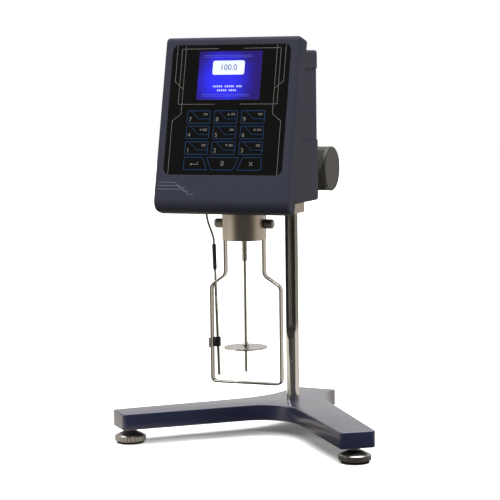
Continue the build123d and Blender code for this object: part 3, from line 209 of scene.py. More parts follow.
class DisplayPicture(bpy.types.PropertyGroup):
    """The lit display."""

    glow: colour("Glow", "Bright middle of the display", (0.030, 0.030, 1.0))
    dusk: colour("Dusk", "Dark rim of the display", (0.020, 0.008, 0.16))
    card: colour("Card", "White card behind the reading", (0.80, 0.88, 1.0))
    digits: colour("Digits", "Digits of the reading", (0.02, 0.03, 0.30))
    bars: colour("Bars", "Bars under the card", (0.62, 0.68, 1.0))
    rules: colour("Rules", "Thin rules at the top and bottom", (0.10, 0.14, 0.95))
    brightness: number("Brightness", "Emission strength of the display", 1.0)
    card_width: length("Card Width", "Width of the white reading card", 0.0358)
    card_height: length("Card Height", "Height of the white reading card", 0.0150)
    card_strength: number("Card Strength", "Emission strength of the reading card", 1.2)


class Studio(bpy.types.PropertyGroup):
    """Camera, floor and light."""

    camera_place: FloatVectorProperty(name="Camera Place", description="Where the camera stands",
                                      subtype="XYZ", unit="LENGTH", default=(0.7773, -1.9609, 0.4202))
    camera_heading: angle("Camera Heading", "Turn to the left of looking along Y", 21.985)
    camera_dip: angle("Camera Dip", "Angle below the horizon", 5.591)
    camera_roll: angle("Camera Roll", "Roll about the line of sight", -0.771)
    camera_lens: number("Lens", "Focal length of the camera", 137.2, 1.0, unit="CAMERA")
    floor_radius: length("Floor Radius", "Reach of the floor round the object", 6.0)
    floor_sides: IntProperty(name="Floor Sides", description="Corners of the floor disc", default=96, min=12)
    floor_lift: number("Floor Lift", "Light added to the shadows on the floor", 0.10)
    table: colour("Table", "Floor round the object, as reflections see it", (0.38, 0.352, 0.315))
    table_far: colour("Far Table", "Floor in front, as reflections see it", (0.045, 0.043, 0.040))
    front_heading: FloatVectorProperty(name="Front Heading", subtype="XYZ", default=(0.374, -0.927, 0.0),
                                       description="Middle of the dim floor, from the object")
    front_start: number("Front Start", "Cosine where the floor starts to dim", 0.45, -1.0, 1.0)
    front_full: number("Front Full", "Cosine where the floor is dim", 0.72, -1.0, 1.0)
    room: colour("Room", "Room in front of the object, as reflections see it", (0.060, 0.056, 0.052))
    backdrop: colour("Backdrop", "Backdrop behind the object, as reflections see it", (0.72, 0.70, 0.67))
    backdrop_start: number("Backdrop Start", "Heading along Y where the backdrop starts", -0.15, -1.0, 1.0)
    backdrop_full: number("Backdrop Full", "Heading along Y where the backdrop is full", 0.75, -1.0, 1.0)
    sky_strength: number("Overhead Strength", "Strength of the wide overhead light", 5.2)
    sky_spread: angle("Overhead Spread", "Width of the overhead light in the sky", 75.0)
    softbox_watts: number("Softbox Power", "Power of the left softbox", 26.0, unit="POWER")


class ViscometerSettings(bpy.types.PropertyGroup):
    """Every setting of the add-on."""

    stand: PointerProperty(type=StandFinish)
    base: PointerProperty(type=BaseShape)
    bars: PointerProperty(type=BarShape)
    probe: PointerProperty(type=ProbeShape)
    head: PointerProperty(type=HeadFinish)
    panel: PointerProperty(type=PanelPrint)
    display: PointerProperty(type=DisplayPicture)
    studio: PointerProperty(type=Studio)


# ---------------------------------------------------------------- shader groups


def make_group(name, given, made):
    """A new shader group. given lists (label, kind, default) and made lists (label, kind)."""
    group = bpy.data.node_groups.new(name, "ShaderNodeTree")
    for label, kind, value in given:
        group.interface.new_socket(label, in_out="INPUT", socket_type=kind).default_value = value
    for label, kind in made:
        group.interface.new_socket(label, in_out="OUTPUT", socket_type=kind)
    return group, group.nodes.new("NodeGroupInput"), group.nodes.new("NodeGroupOutput")


def maths(tree, operation, first, second, clamp=False):
    """A Math node. Each operand is a socket or a number."""
    node = tree.nodes.new("ShaderNodeMath")
    node.operation = operation
    node.use_clamp = clamp
    for slot, operand in zip(node.inputs, (first, second)):
        if isinstance(operand, (int, float)):
            slot.default_value = operand
        else:
            tree.links.new(operand, slot)
    return node.outputs[0]

def vector_maths(tree, operation, first, second=None):
    """A Vector Math node. Each operand is a socket or three numbers."""
    node = tree.nodes.new("ShaderNodeVectorMath")
    node.operation = operation
    for slot, operand in zip(node.inputs, (first, second)):
        if isinstance(operand, bpy.types.NodeSocket):
            tree.links.new(operand, slot)
        elif operand is not None:
            slot.default_value = operand
    return node.outputs["Value" if operation == "DOT_PRODUCT" else "Vector"]


def parts(tree, vector):
    """The three parts of a vector, by their letters."""
    node = tree.nodes.new("ShaderNodeSeparateXYZ")
    tree.links.new(vector, node.inputs[0])
    return node.outputs


def distance(tree, across, along, weight=1.0):
    """Length of a flat step whose second part counts by a weight."""
    first, second = (maths(tree, "POWER", part, 2.0) for part in (across, along))
    return maths(tree, "SQRT", maths(tree, "ADD", first, maths(tree, "MULTIPLY", second, weight)), 0.0)


def rise(tree, value, start, full, curve="SMOOTHSTEP"):
    """Rises from 0 where the value is start to 1 where it is full."""
    node = tree.nodes.new("ShaderNodeMapRange")
    node.interpolation_type = curve
    node.inputs["From Min"].default_value = start
    node.inputs["From Max"].default_value = full
    tree.links.new(value, node.inputs["Value"])
    return node.outputs["Result"]


def shaded(tint, share):
    """A colour made darker or brighter."""
    return [min(1.0, channel * share) for channel in tint]

def mix_colours(tree, share, first, second):
    """A Mix node for colours. share is a socket."""
    node = tree.nodes.new("ShaderNodeMix")
    node.data_type = "RGBA"
    tree.links.new(share, node.inputs["Factor"])
    for label, operand in (("A", first), ("B", second)):
        socket = next(s for s in node.inputs if s.name == label and s.type == "RGBA")
        if isinstance(operand, bpy.types.NodeSocket):
            tree.links.new(operand, socket)
        else:
            socket.default_value = (*operand, 1.0)
    return next(s for s in node.outputs if s.type == "RGBA")


def object_place(tree, stretch=None):
    """Object coordinates, times a stretch for each axis."""
    place = tree.nodes.new("ShaderNodeTexCoord").outputs["Object"]
    return place if stretch is None else vector_maths(tree, "MULTIPLY", place, stretch)


def noise(tree, place, scale, detail=2.0, roughness=0.5):
    """A Noise Texture's value."""
    node = tree.nodes.new("ShaderNodeTexNoise")
    node.inputs["Detail"].default_value = detail
    node.inputs["Roughness"].default_value = roughness
    tree.links.new(place, node.inputs["Vector"])
    if isinstance(scale, bpy.types.NodeSocket):
        tree.links.new(scale, node.inputs["Scale"])
    else:
        node.inputs["Scale"].default_value = scale
    return node.outputs["Fac"]


def worn_and_lit_edges_group():
    """Rounded-off normals at edges, and a broken mask along the edges. Most finishes use the mask for rubbed
    wear; the enamel and the shell use it for a painted highlight.
    """
    group, given, made = make_group(
        "Worn And Lit Edges",
        [("Radius", "NodeSocketFloat", 0.0005), ("Gain", "NodeSocketFloat", 6.0),
         ("Breakup Scale", "NodeSocketFloat", 300.0)],
        [("Normal", "NodeSocketVector"), ("Worn And Lit", "NodeSocketFloat")])
    bevel = group.nodes.new("ShaderNodeBevel")
    bevel.samples = 4
    group.links.new(given.outputs["Radius"], bevel.inputs["Radius"])
    surface = group.nodes.new("ShaderNodeNewGeometry").outputs["Normal"]
    alike = vector_maths(group, "DOT_PRODUCT", bevel.outputs["Normal"], surface)
    bent = maths(group, "SUBTRACT", 1.0, alike)
    strong = maths(group, "MULTIPLY", bent, given.outputs["Gain"], clamp=True)
    broken = noise(group, object_place(group), given.outputs["Breakup Scale"], detail=4.0, roughness=0.6)
    group.links.new(maths(group, "MULTIPLY", strong, broken, clamp=True), made.inputs["Worn And Lit"])
    group.links.new(bevel.outputs["Normal"], made.inputs["Normal"])
    return group


def fine_grain_group():
    """Fine moulded or painted grain, and slow cloudiness."""
    group, given, made = make_group(
        "Fine Grain",
        [("Grain Scale", "NodeSocketFloat", 2500.0), ("Cloud Scale", "NodeSocketFloat", 25.0)],
        [("Height", "NodeSocketFloat"), ("Cloud", "NodeSocketFloat")])
    place = object_place(group)
    grain = noise(group, place, given.outputs["Grain Scale"], detail=3.0, roughness=0.6)
    cloud = noise(group, place, given.outputs["Cloud Scale"], detail=4.0, roughness=0.55)
    group.links.new(grain, made.inputs["Height"])
    group.links.new(cloud, made.inputs["Cloud"])
    return group


def brushed_group():
    """Streaks of a brushed surface: the stretch is large across the streaks and small along them."""
    group, given, made = make_group(
        "Brushed Streaks",
        [("Stretch", "NodeSocketVector", (3000.0, 3000.0, 60.0))],
        [("Height", "NodeSocketFloat"), ("Streak", "NodeSocketFloat")])
    place = object_place(group, given.outputs["Stretch"])
    fine, broad = 1.0, 0.22
    group.links.new(noise(group, place, fine, detail=3.0, roughness=0.65), made.inputs["Height"])
    group.links.new(noise(group, place, broad), made.inputs["Streak"])
    return group


def turned_group():
    """Rings left by a lathe round an upright axis."""
    group, given, made = make_group(
        "Turned Rings",
        [("Centre", "NodeSocketVector", (0.0, 0.0, 0.0)), ("Scale", "NodeSocketFloat", 2200.0)],
        [("Height", "NodeSocketFloat"), ("Ring", "NodeSocketFloat")])
    drift, broad = 0.02, 0.25
    away = parts(group, vector_maths(group, "SUBTRACT", object_place(group), given.outputs["Centre"]))
    ring = group.nodes.new("ShaderNodeCombineXYZ")
    group.links.new(distance(group, away["X"], away["Y"]), ring.inputs["X"])
    group.links.new(maths(group, "MULTIPLY", away["X"], drift), ring.inputs["Y"])
    group.links.new(away["Z"], ring.inputs["Z"])
    fine = noise(group, ring.outputs[0], given.outputs["Scale"], roughness=0.6)
    slow = noise(group, ring.outputs[0], maths(group, "MULTIPLY", given.outputs["Scale"], broad))
    group.links.new(fine, made.inputs["Height"])
    group.links.new(slow, made.inputs["Ring"])
    return group


def dust_and_sheen_group():
    """A pale tint where a surface looks up: thin dust, and on the enamel also a painted reflection of the
    backdrop.
    """
    group, given, made = make_group(
        "Dust And Sheen",
        [("Amount", "NodeSocketFloat", 0.1), ("Scale", "NodeSocketFloat", 60.0)],
        [("Dust And Sheen", "NodeSocketFloat")])
    surface = group.nodes.new("ShaderNodeNewGeometry").outputs["Normal"]
    upward = maths(group, "MULTIPLY", parts(group, surface)["Z"], given.outputs["Amount"], clamp=True)
    patches = noise(group, object_place(group), given.outputs["Scale"], detail=5.0, roughness=0.6)
    group.links.new(maths(group, "MULTIPLY", upward, patches, clamp=True), made.inputs["Dust And Sheen"])
    return group


GROUP_MAKERS = {
    "Worn And Lit Edges": worn_and_lit_edges_group,
    "Fine Grain": fine_grain_group,
    "Brushed Streaks": brushed_group,
    "Turned Rings": turned_group,
    "Dust And Sheen": dust_and_sheen_group,
}


def effect(tree, name, **values):
    """A shared effect placed in a material, with its own values. The group is made on first use."""
    node = tree.nodes.new("ShaderNodeGroup")
    node.node_tree = bpy.data.node_groups.get(name) or GROUP_MAKERS[name]()
    for label, value in values.items():
        node.inputs[label.replace("_", " ")].default_value = value
    return node


# ---------------------------------------------------------------- materials


def spread(tree, value, low, high):
    """Maps a value from 0..1 to low..high."""
    node = tree.nodes.new("ShaderNodeMapRange")
    tree.links.new(value, node.inputs["Value"])
    node.inputs["To Min"].default_value = low
    node.inputs["To Max"].default_value = high
    return node.outputs["Result"]


def new_material(name, **constants):
    """A material with a Principled BSDF whose constants are set on its own sockets."""
    material = bpy.data.materials.new(name)
    material.use_nodes = True
    shader = material.node_tree.nodes["Principled BSDF"]
    for label, value in constants.items():
        shader.inputs[label.replace("_", " ")].default_value = value
    return material, material.node_tree, shader


def bump(tree, shader, height, depth, normal=None):
    """Feeds a height through a Bump node to the shader's normal."""
    node = tree.nodes.new("ShaderNodeBump")
    node.inputs["Distance"].default_value = depth
    node.inputs["Strength"].default_value = 1.0
    tree.links.new(height, node.inputs["Height"])
    if normal is not None:
        tree.links.new(normal, node.inputs["Normal"])
    tree.links.new(node.outputs["Normal"], shader.inputs["Normal"])


# Tint of upward faces: dust, and on the enamel also a painted reflection of the backdrop.
DUST_AND_SHEEN_COLOUR = (0.30, 0.28, 0.25)
BRIGHT_EDGE = 1.3
THIN_INK = 0.75
DIM_LIGHT = 0.85
UNLIT_MARK = (0.02, 0.02, 0.03, 1.0)
UNLIT_GLASS = (0.005, 0.005, 0.02, 1.0)
VIAL_TINTS = ((0.45, 0.62, 0.08), (0.62, 0.78, 0.18))


def moulded(name, base, worn_and_lit_edge, edge=0.0005, grain=2500.0, depth=0.000012, rough=(0.38, 0.50), dust_and_sheen=0.04,
            **constants):
    """Moulded, painted or rubbery surface: fine grain, cloudy roughness, a second colour along the edges and
    a little dust. The edge colour is rubbed wear on most finishes and a painted highlight on the enamel and
    the shell; on the enamel the dust tint also paints a reflection of the backdrop on the top.
    """
    material, tree, shader = new_material(name, **constants)
    edge_node = effect(tree, "Worn And Lit Edges", Radius=edge)
    fine = effect(tree, "Fine Grain", Grain_Scale=grain)
    tint_overlay = effect(tree, "Dust And Sheen", Amount=dust_and_sheen)
    rubbed_and_lit_edges = mix_colours(tree, edge_node.outputs["Worn And Lit"], base, worn_and_lit_edge)
    dusted_and_sheened = mix_colours(tree, tint_overlay.outputs["Dust And Sheen"], rubbed_and_lit_edges, DUST_AND_SHEEN_COLOUR)
    tree.links.new(dusted_and_sheened, shader.inputs["Base Color"])
    tree.links.new(spread(tree, fine.outputs["Cloud"], *rough), shader.inputs["Roughness"])
    bump(tree, shader, fine.outputs["Height"], depth, edge_node.outputs["Normal"])
    return material


def worked_metal(name, base, marks, mark_settings, shade, dark, depth, rough, edge, constants):
    """Bare metal with the tool marks of a shared effect and bright edges."""
    material, tree, shader = new_material(name, Metallic=1.0, **constants)
    edge_node = effect(tree, "Worn And Lit Edges", Radius=edge, Gain=3.0)
    pattern = effect(tree, marks, **mark_settings)
    marked = mix_colours(tree, pattern.outputs[shade], shaded(base, dark), base)
    bright = mix_colours(tree, edge_node.outputs["Worn And Lit"], marked, shaded(base, BRIGHT_EDGE))
    tree.links.new(bright, shader.inputs["Base Color"])
    tree.links.new(spread(tree, pattern.outputs[shade], *rough), shader.inputs["Roughness"])
    bump(tree, shader, pattern.outputs["Height"], depth, edge_node.outputs["Normal"])
    return material


def brushed(name, base, stretch, depth=0.000006, rough=(0.20, 0.34), edge=0.0003, dark=0.72, **constants):
    """Brushed metal with streaks along one way."""
    return worked_metal(name, base, "Brushed Streaks", {"Stretch": stretch}, "Streak", dark, depth, rough,
                        edge, constants)


def turned(name, base, centre, scale=2200.0, depth=0.000006, rough=(0.18, 0.32), edge=0.0003, **constants):
    """Metal turned on a lathe, with fine rings round an upright axis."""
    rings = {"Centre": (centre.x, centre.y, 0.0), "Scale": scale}
    return worked_metal(name, base, "Turned Rings", rings, "Ring", 0.8, depth, rough, edge, constants)


def inked(name, ink):
    """Screen-printed ink, a little uneven."""
    material, tree, shader = new_material(name, Specular_IOR_Level=0.3)
    fine = effect(tree, "Fine Grain", Grain_Scale=4000.0, Cloud_Scale=150.0)
    uneven = mix_colours(tree, fine.outputs["Cloud"], shaded(ink, THIN_INK), ink)
    tree.links.new(uneven, shader.inputs["Base Color"])
    tree.links.new(spread(tree, fine.outputs["Cloud"], 0.35, 0.5), shader.inputs["Roughness"])
    return material


def lit(name, tint, strength=1.0):
    """A lit mark on the display, with a slight unevenness of the backlight."""
    material, tree, shader = new_material(name, Roughness=0.4, Emission_Strength=strength)
    fine = effect(tree, "Fine Grain", Grain_Scale=3000.0, Cloud_Scale=60.0)
    glow = mix_colours(tree, fine.outputs["Cloud"], shaded(tint, DIM_LIGHT), tint)
    tree.links.new(glow, shader.inputs["Emission Color"])
    shader.inputs["Base Color"].default_value = UNLIT_MARK
    return material


def display_glass(settings):
    """The backlit display: bright blue in the middle, dusky towards the rim, behind a glossy window."""
    material, tree, shader = new_material("display_glass", Roughness=0.08,
                                          Emission_Strength=settings.brightness)
    glow_left, glow_low, tallness = 0.18, 0.15, 0.55
    dusk_start, dusk_full, cloudiness = 0.25, 1.10, 0.5
    away = parts(tree, vector_maths(tree, "SUBTRACT", object_place(tree), SCREEN_MIDDLE))
    low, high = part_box("screen_window")
    across = maths(tree, "ADD", maths(tree, "DIVIDE", away["X"], (high.x - low.x) / 2), glow_left)
    upward = maths(tree, "ADD", maths(tree, "DIVIDE", away["Z"], (high.z - low.z) / 2), glow_low)
    clouds = maths(tree, "SUBTRACT", noise(tree, object_place(tree), 70.0, detail=3.0, roughness=0.6), 0.5)
    uneven = maths(tree, "ADD", distance(tree, across, upward, tallness),
                   maths(tree, "MULTIPLY", clouds, cloudiness))
    faded = rise(tree, uneven, dusk_start, dusk_full)
    tree.links.new(mix_colours(tree, faded, settings.glow, settings.dusk), shader.inputs["Emission Color"])
    shader.inputs["Base Color"].default_value = UNLIT_GLASS
    fine = effect(tree, "Fine Grain", Grain_Scale=1500.0, Cloud_Scale=40.0)
    tree.links.new(spread(tree, fine.outputs["Cloud"], 0.06, 0.16), shader.inputs["Roughness"])
    return material


def vial_glass():
    """Green-yellow bubble level glass."""
    material, tree, shader = new_material("vial_glass", Transmission_Weight=0.6, IOR=1.45)
    fine = effect(tree, "Fine Grain", Cloud_Scale=200.0)
    tree.links.new(mix_colours(tree, fine.outputs["Cloud"], *VIAL_TINTS), shader.inputs["Base Color"])
    tree.links.new(spread(tree, fine.outputs["Cloud"], 0.03, 0.10), shader.inputs["Roughness"])
    return material


def post_chrome(settings, rack_end):
    """Hard chrome, darker from just below the rack's lower end upward."""
    dark_start_below, dark_full_above, upper_darkening = 0.012, 0.006, 0.36
    material = brushed("hard_chrome", settings.chrome, (900.0, 900.0, 30.0), depth=0.000001,
                       rough=(0.05, 0.10), dark=0.93)
    tree = material.node_tree
    shader = tree.nodes["Principled BSDF"]
    plain = shader.inputs["Base Color"].links[0].from_socket
    height = parts(tree, object_place(tree))["Z"]
    tint_overlay = rise(tree, height, rack_end - dark_start_below, rack_end + dark_full_above)
    darker_above = mix_colours(tree, tint_overlay, plain, shaded(settings.chrome, upper_darkening))
    tree.links.new(darker_above, shader.inputs["Base Color"])
    return material


def clip_plastic():
    """Grey round the strip of the guard, black round the probe."""
    grey, black = (0.16, 0.15, 0.14), (0.010, 0.010, 0.010)
    material, tree, shader = new_material("clip_plastic")
    middle, blur = middle_of("probe_clip").x, 0.0002
    border = rise(tree, parts(tree, object_place(tree))["X"], middle - blur, middle + blur, "LINEAR")
    tree.links.new(mix_colours(tree, border, grey, black), shader.inputs["Base Color"])
    fine = effect(tree, "Fine Grain", Grain_Scale=2500.0)
    tree.links.new(spread(tree, fine.outputs["Cloud"], 0.3, 0.45), shader.inputs["Roughness"])
    bump(tree, shader, fine.outputs["Height"], 0.00001)
    return material


def assign(material, *nodes):
    """Puts a material on every slot of the named nodes."""
    for name in nodes:
        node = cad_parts[name]
        if not node.material_slots:
            node.data.materials.append(material)
        for material_slot in node.material_slots:
            material_slot.material = material


# ---------------------------------------------------------------- drawn marks


def ribbon_corners(points, width, closed):
    """Left and right corners of a mitred ribbon along points in the plane."""
    count = len(points)
    corners = []
    for index, point in enumerate(points):
        before = points[index - 1] if closed or index > 0 else None
        after = points[(index + 1) % count] if closed or index < count - 1 else None
        headings = [(b - a).normalized() for a, b in ((before, point), (point, after)) if a and b]
        sides = [Vector((-heading.y, heading.x)) for heading in headings]
        bisector = sum(sides, Vector((0.0, 0.0))).normalized()
        reach = width / 2 / max(0.4, bisector.dot(sides[0]))
        corners.append((point + bisector * reach, point - bisector * reach))
    return corners


def bridge(mesh, first, second):
    """Faces between two closed rings of corners."""
    for index in range(len(first)):
        after = (index + 1) % len(first)
        mesh.faces.new((first[index], first[after], second[after], second[index]))


def add_loft(mesh, rings):
    """A closed solid through rings of points that have equally many corners."""
    corners = [[mesh.verts.new(point) for point in ring] for ring in rings]
    for first, second in zip(corners, corners[1:]):
        bridge(mesh, first, second)
    mesh.faces.new(corners[0][::-1])
    mesh.faces.new(corners[-1])


def add_slab(mesh, outline, top, place):
    """A closed thin slab over a flat outline, from the surface up to top."""
    add_loft(mesh, [[place @ Vector((x, y, level)) for x, y in outline] for level in (0.0, top)])


def add_ribbon(mesh, points, width, top, place, closed=False):
    """A raised printed line along points."""
    points = [Vector(point) for point in points]
    corners = ribbon_corners(points, width, closed)
    pairs = list(zip(corners, corners[1:] + corners[:1] if closed else corners[1:]))
    for (left_a, right_a), (left_b, right_b) in pairs:
        add_slab(mesh, (right_a, right_b, left_b, left_a), top, place)


def rounded(width, height, radius, steps=5):
    """Corners of a rounded rectangle about the origin, counter-clockwise."""
    outline = []
    for quarter, (sx, sy) in enumerate(((1, 1), (-1, 1), (-1, -1), (1, -1))):
        centre = Vector((sx * (width / 2 - radius), sy * (height / 2 - radius)))
        for step in range(steps + 1):
            angle = math.radians(90 * (quarter + step / steps))
            outline.append(centre + radius * Vector((math.cos(angle), math.sin(angle))))
    return outline


def round_corners(points, radius, steps=3):
    """A closed outline with its corners rounded by short curves."""
    outline = []
    count = len(points)
    for index, point in enumerate(points):
        corner = Vector(point)
        before = (Vector(points[index - 1]) - corner).normalized() * radius
        after = (Vector(points[(index + 1) % count]) - corner).normalized() * radius
        for step in range(steps + 1):
            share = step / steps
            outline.append(corner + before * (1 - share) ** 2 + after * share ** 2)
    return outline


def add_text(mesh, words, size, centre, place, top):
    """Numerals as thin solid letters, centred on a point of the drawing plane."""
    curve = bpy.data.curves.new("type", "FONT")
    curve.body = words
    curve.size = size
    curve.align_x, curve.align_y = "CENTER", "CENTER"
    curve.extrude = top / 2
    curve.resolution_u = 4
    setter = bpy.data.objects.new("type", curve)
    letters = bpy.data.meshes.new_from_object(setter)
    letters.transform(place @ Matrix.Translation((*centre, top / 2)))
    mesh.from_mesh(letters)
    bpy.data.objects.remove(setter)
    bpy.data.curves.remove(curve)
    bpy.data.meshes.remove(letters)


def finish_piece(mesh, name, material, body):
    """Writes a bmesh to a named object that rides on a body."""
    bmesh.ops.recalc_face_normals(mesh, faces=mesh.faces)
    data = bpy.data.meshes.new(name)
    mesh.to_mesh(data)
    mesh.free()
    data.materials.append(material)
    piece = bpy.data.objects.new(name, data)
    bpy.context.scene.collection.objects.link(piece)
    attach(piece, body)
    return piece


KEYPAD_SHIFT = 0.0004


def key_middle(settings, column, row):
    """Middle of a key on the sheet. Columns run -1, 0, 1 and rows 0 to 3 from the lowest."""
    return Vector((column * settings.key_column - KEYPAD_SHIFT,
                   row * settings.key_row - settings.lowest_row + settings.key_height / 2))


def key_spot(settings, column, row, share):
    """A place on a key, in shares of its half width and half height from its middle."""
    half = Vector((share[0] * settings.key_width / 2, share[1] * settings.key_height / 2))
    return key_middle(settings, column, row) + half


def key_shape(centre, half_height, low_left, low_right, high_right, high_left):
    """Four corners of a key, by how far each lies to the side of its middle."""
    return [centre + Vector(corner) for corner in ((low_left, -half_height), (low_right, -half_height),
                                                   (high_right, half_height), (high_left, half_height))]


def key_outlines(settings):
    """Closed outlines of the twelve keys, and the tab line of each number key, about the sheet's middle."""
    wide, half_height = settings.key_width / 2, settings.key_height / 2
    tab_line = ((-0.68, 1.0), (0.02, -0.30), (1.0, -0.30))
    outlines, tabs = [], []
    for row in (1, 2, 3):
        for column in (-1, 0, 1):
            centre = key_middle(settings, column, row)
            outlines.append(key_shape(centre, half_height, -wide, wide, wide, -wide))
            tabs.append([key_spot(settings, column, row, share) for share in tab_line])
    lean, longer, shorter, further = 0.0050, 0.0008, 0.0006, 0.0010
    left, middle, right = (key_middle(settings, column, 0) for column in (-1, 0, 1))
    outlines.append(key_shape(left, half_height, -wide, wide + longer, wide - lean, -wide))
    outlines.append(key_shape(middle, half_height, shorter - wide, wide - shorter, wide + lean, -wide - lean))
    outlines.append(key_shape(right, half_height, -wide - further, wide, wide, lean - wide))
    return outlines, tabs


# ---------------------------------------------------------------- cast and turned shapes


def crossing(first, first_heading, second, second_heading):
    """Where two lines of the plan cross."""
    turn = first_heading.cross(second_heading)
    return first + first_heading * (second - first).cross(second_heading) / turn


def arc_corner(before, corner, after, radius, steps=12):
    """Points of a round corner that touches both of its sides."""
    inward, onward = (before - corner).normalized(), (after - corner).normalized()
    half = inward.angle(onward) / 2
    centre = corner + (inward + onward).normalized() * radius / math.sin(half)
    first = corner + inward * radius / math.tan(half) - centre
    sweep = first.angle_signed(corner + onward * radius / math.tan(half) - centre)
    return [centre + Matrix.Rotation(-sweep * step / steps, 2) @ first for step in range(steps + 1)]


def base_outline(shape):
    """Round-cornered plan of the base, clockwise from the left leg's inner end corner."""
    corners = {}
    junction = Vector((0.0, shape.junction))
    for side in (-1, 1):
        ahead = Vector((side * math.sin(shape.splay), -math.cos(shape.splay)))
        outward = Vector((side * math.cos(shape.splay), math.sin(shape.splay)))
        end = junction + ahead * shape.reach
        corners[side] = [middle + outward * share * width / 2
                         for middle, width in ((end, shape.leg_end), (junction, shape.leg_root))
                         for share in (1, -1)]
    left_out, left_in, left_out_root, left_in_root = corners[-1]
    right_out, right_in, right_out_root, right_in_root = corners[1]
    crotch = crossing(left_in, left_in_root - left_in, right_in, right_in_root - right_in)
    back = Vector((0.0, 1.0))
    back_left = Vector((-shape.back_left, shape.back_end))
    back_right = Vector((shape.back_right, shape.back_end))
    left_flank = crossing(left_out, left_out_root - left_out, back_left, back)
    right_flank = crossing(right_out, right_out_root - right_out, back_right, back)
    points = (left_in, crotch, right_in, right_out, right_flank, back_right, back_left, left_flank, left_out)
    radii = (shape.corner, shape.crotch, shape.corner, shape.corner, shape.flank_right, shape.corner,
             shape.corner, shape.flank_left, shape.corner)
    outline = []
    for index, (point, radius) in enumerate(zip(points, radii)):
        outline += arc_corner(points[index - 1], point, points[(index + 1) % len(points)], radius)
    return outline


def edge_normals(outline):
    """Outward direction at each point of a closed outline."""
    area = sum(a.cross(b) for a, b in zip(outline, outline[1:] + outline[:1]))
    turn = 1 if area > 0 else -1
    normals = []
    for index in range(len(outline)):
        along = outline[(index + 1) % len(outline)] - outline[index - 1]
        normals.append(Vector((along.y, -along.x)).normalized() * turn)
    return normals


def add_rounded_plate(mesh, outline, bottom, top, edge, place, steps=4):
    """A plate over an outline, with quarter-round edges above and below."""
    normals = edge_normals(outline)
    quarter = [math.radians(90 * step / steps) for step in range(steps + 1)]
    profile = [(edge * (1 - math.sin(angle)), bottom + edge * (1 - math.cos(angle))) for angle in quarter]
    profile += [(inset, bottom + top - height) for inset, height in reversed(profile)]
    add_loft(mesh, [[place @ Vector((*(point - normal * inset), height))
                     for point, normal in zip(outline, normals)] for inset, height in profile])


def add_lathe(mesh, centre, profile, sides=48):
    """A solid turned round an upright axis. Its profile of radius and height starts and ends on the axis."""
    first, *middle, last = profile
    ends = [mesh.verts.new((centre.x, centre.y, height)) for _, height in (first, last)]
    turns = [2 * math.pi * side / sides for side in range(sides)]
    spokes = [(math.cos(turn), math.sin(turn)) for turn in turns]
    rings = [[mesh.verts.new((centre.x + radius * across, centre.y + radius * along, height))
              for across, along in spokes] for radius, height in middle]
    for side in range(sides):
        after = (side + 1) % sides
        mesh.faces.new((ends[0], rings[0][side], rings[0][after]))
        mesh.faces.new((ends[1], rings[-1][after], rings[-1][side]))
    for lower, upper in zip(rings, rings[1:]):
        bridge(mesh, lower, upper)


def add_prism(mesh, profile, low, high):
    """A solid with a profile in the YZ plane, drawn out along X."""
    add_loft(mesh, [[(end, y, z) for y, z in profile] for end in (low, high)])


def add_strip(mesh, path, width, thickness, edge, depth):
    """A flat strip along a path in the XZ plane, with its edges rounded off."""
    half_width, half_thickness = width / 2, thickness / 2
    section = [(side * (half_thickness - inset), front * (half_width - edge + inset))
               for side, front, inset in ((1, -1, 0.0), (1, 1, 0.0), (1, 1, edge), (-1, 1, edge),
                                          (-1, 1, 0.0), (-1, -1, 0.0), (-1, -1, edge), (1, -1, edge))]
    rings = []
    for index, point in enumerate(path):
        along = path[min(index + 1, len(path) - 1)] - path[max(index - 1, 0)]
        outward = Vector((along.y, -along.x)).normalized()
        rings.append([(point.x + outward.x * out, depth + across, point.y + outward.y * out)
                      for out, across in section])
    add_loft(mesh, rings)


def smooth_piece(piece, angle=35.0):
    """Smooth shading with edges sharper than the angle kept."""
    for face in piece.data.polygons:
        face.use_smooth = True
    piece.data.set_sharp_from_angle(angle=math.radians(angle))


def fuller(node, name, material, growth, body):
    """A piece that stands for a thin node, with its surface moved outward by the growth."""
    mesh = bmesh.new()
    mesh.from_mesh(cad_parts[node].data)
    bmesh.ops.remove_doubles(mesh, verts=mesh.verts, dist=0.000002)
    mesh.normal_update()
    for vertex, normal in [(vertex, vertex.normal.copy()) for vertex in mesh.verts]:
        vertex.co += normal * growth
    piece = finish_piece(mesh, name, material, body)
    smooth_piece(piece)
    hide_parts(node)
    return piece


def drill(piece, cutter_mesh):
    """Cuts the closed solids of a bmesh out of a piece, and leaves no modifier on it."""
    bmesh.ops.recalc_face_normals(cutter_mesh, faces=cutter_mesh.faces)
    data = bpy.data.meshes.new("cutter")
    cutter_mesh.to_mesh(data)
    cutter_mesh.free()
    cutter = bpy.data.objects.new("cutter", data)
    bpy.context.scene.collection.objects.link(cutter)
    modifier = piece.modifiers.new("drill", "BOOLEAN")
    modifier.operation = "DIFFERENCE"
    modifier.solver = "EXACT"
    modifier.object = cutter
    graph = bpy.context.evaluated_depsgraph_get()
    drilled = bpy.data.meshes.new_from_object(piece.evaluated_get(graph))
    piece.modifiers.clear()
    piece.data = drilled
    bpy.data.objects.remove(cutter)


# ---------------------------------------------------------------- operators


SIDES = ("left", "right", "back")
SYMBOL_LINE = 0.0006

# Base and rubbed-edge colour of the finishes that no setting changes.
BLACK_RUBBER = ((0.012, 0.012, 0.012), (0.03, 0.03, 0.03))
BLACK_MOULDING = ((0.012, 0.012, 0.012), (0.04, 0.04, 0.04))
BOLT_OXIDE = ((0.05, 0.05, 0.05), (0.2, 0.2, 0.2))
SCREW_OXIDE = ((0.09, 0.088, 0.085), (0.3, 0.3, 0.29))
BOARD_GREEN = ((0.008, 0.06, 0.022), (0.3, 0.25, 0.1))
CASE_GREY = ((0.03, 0.03, 0.035), (0.06, 0.06, 0.06))
SENSOR_BLACK = ((0.01, 0.01, 0.01), (0.04, 0.04, 0.04))
NATURAL_NYLON = ((0.6, 0.59, 0.55), (0.7, 0.69, 0.65))


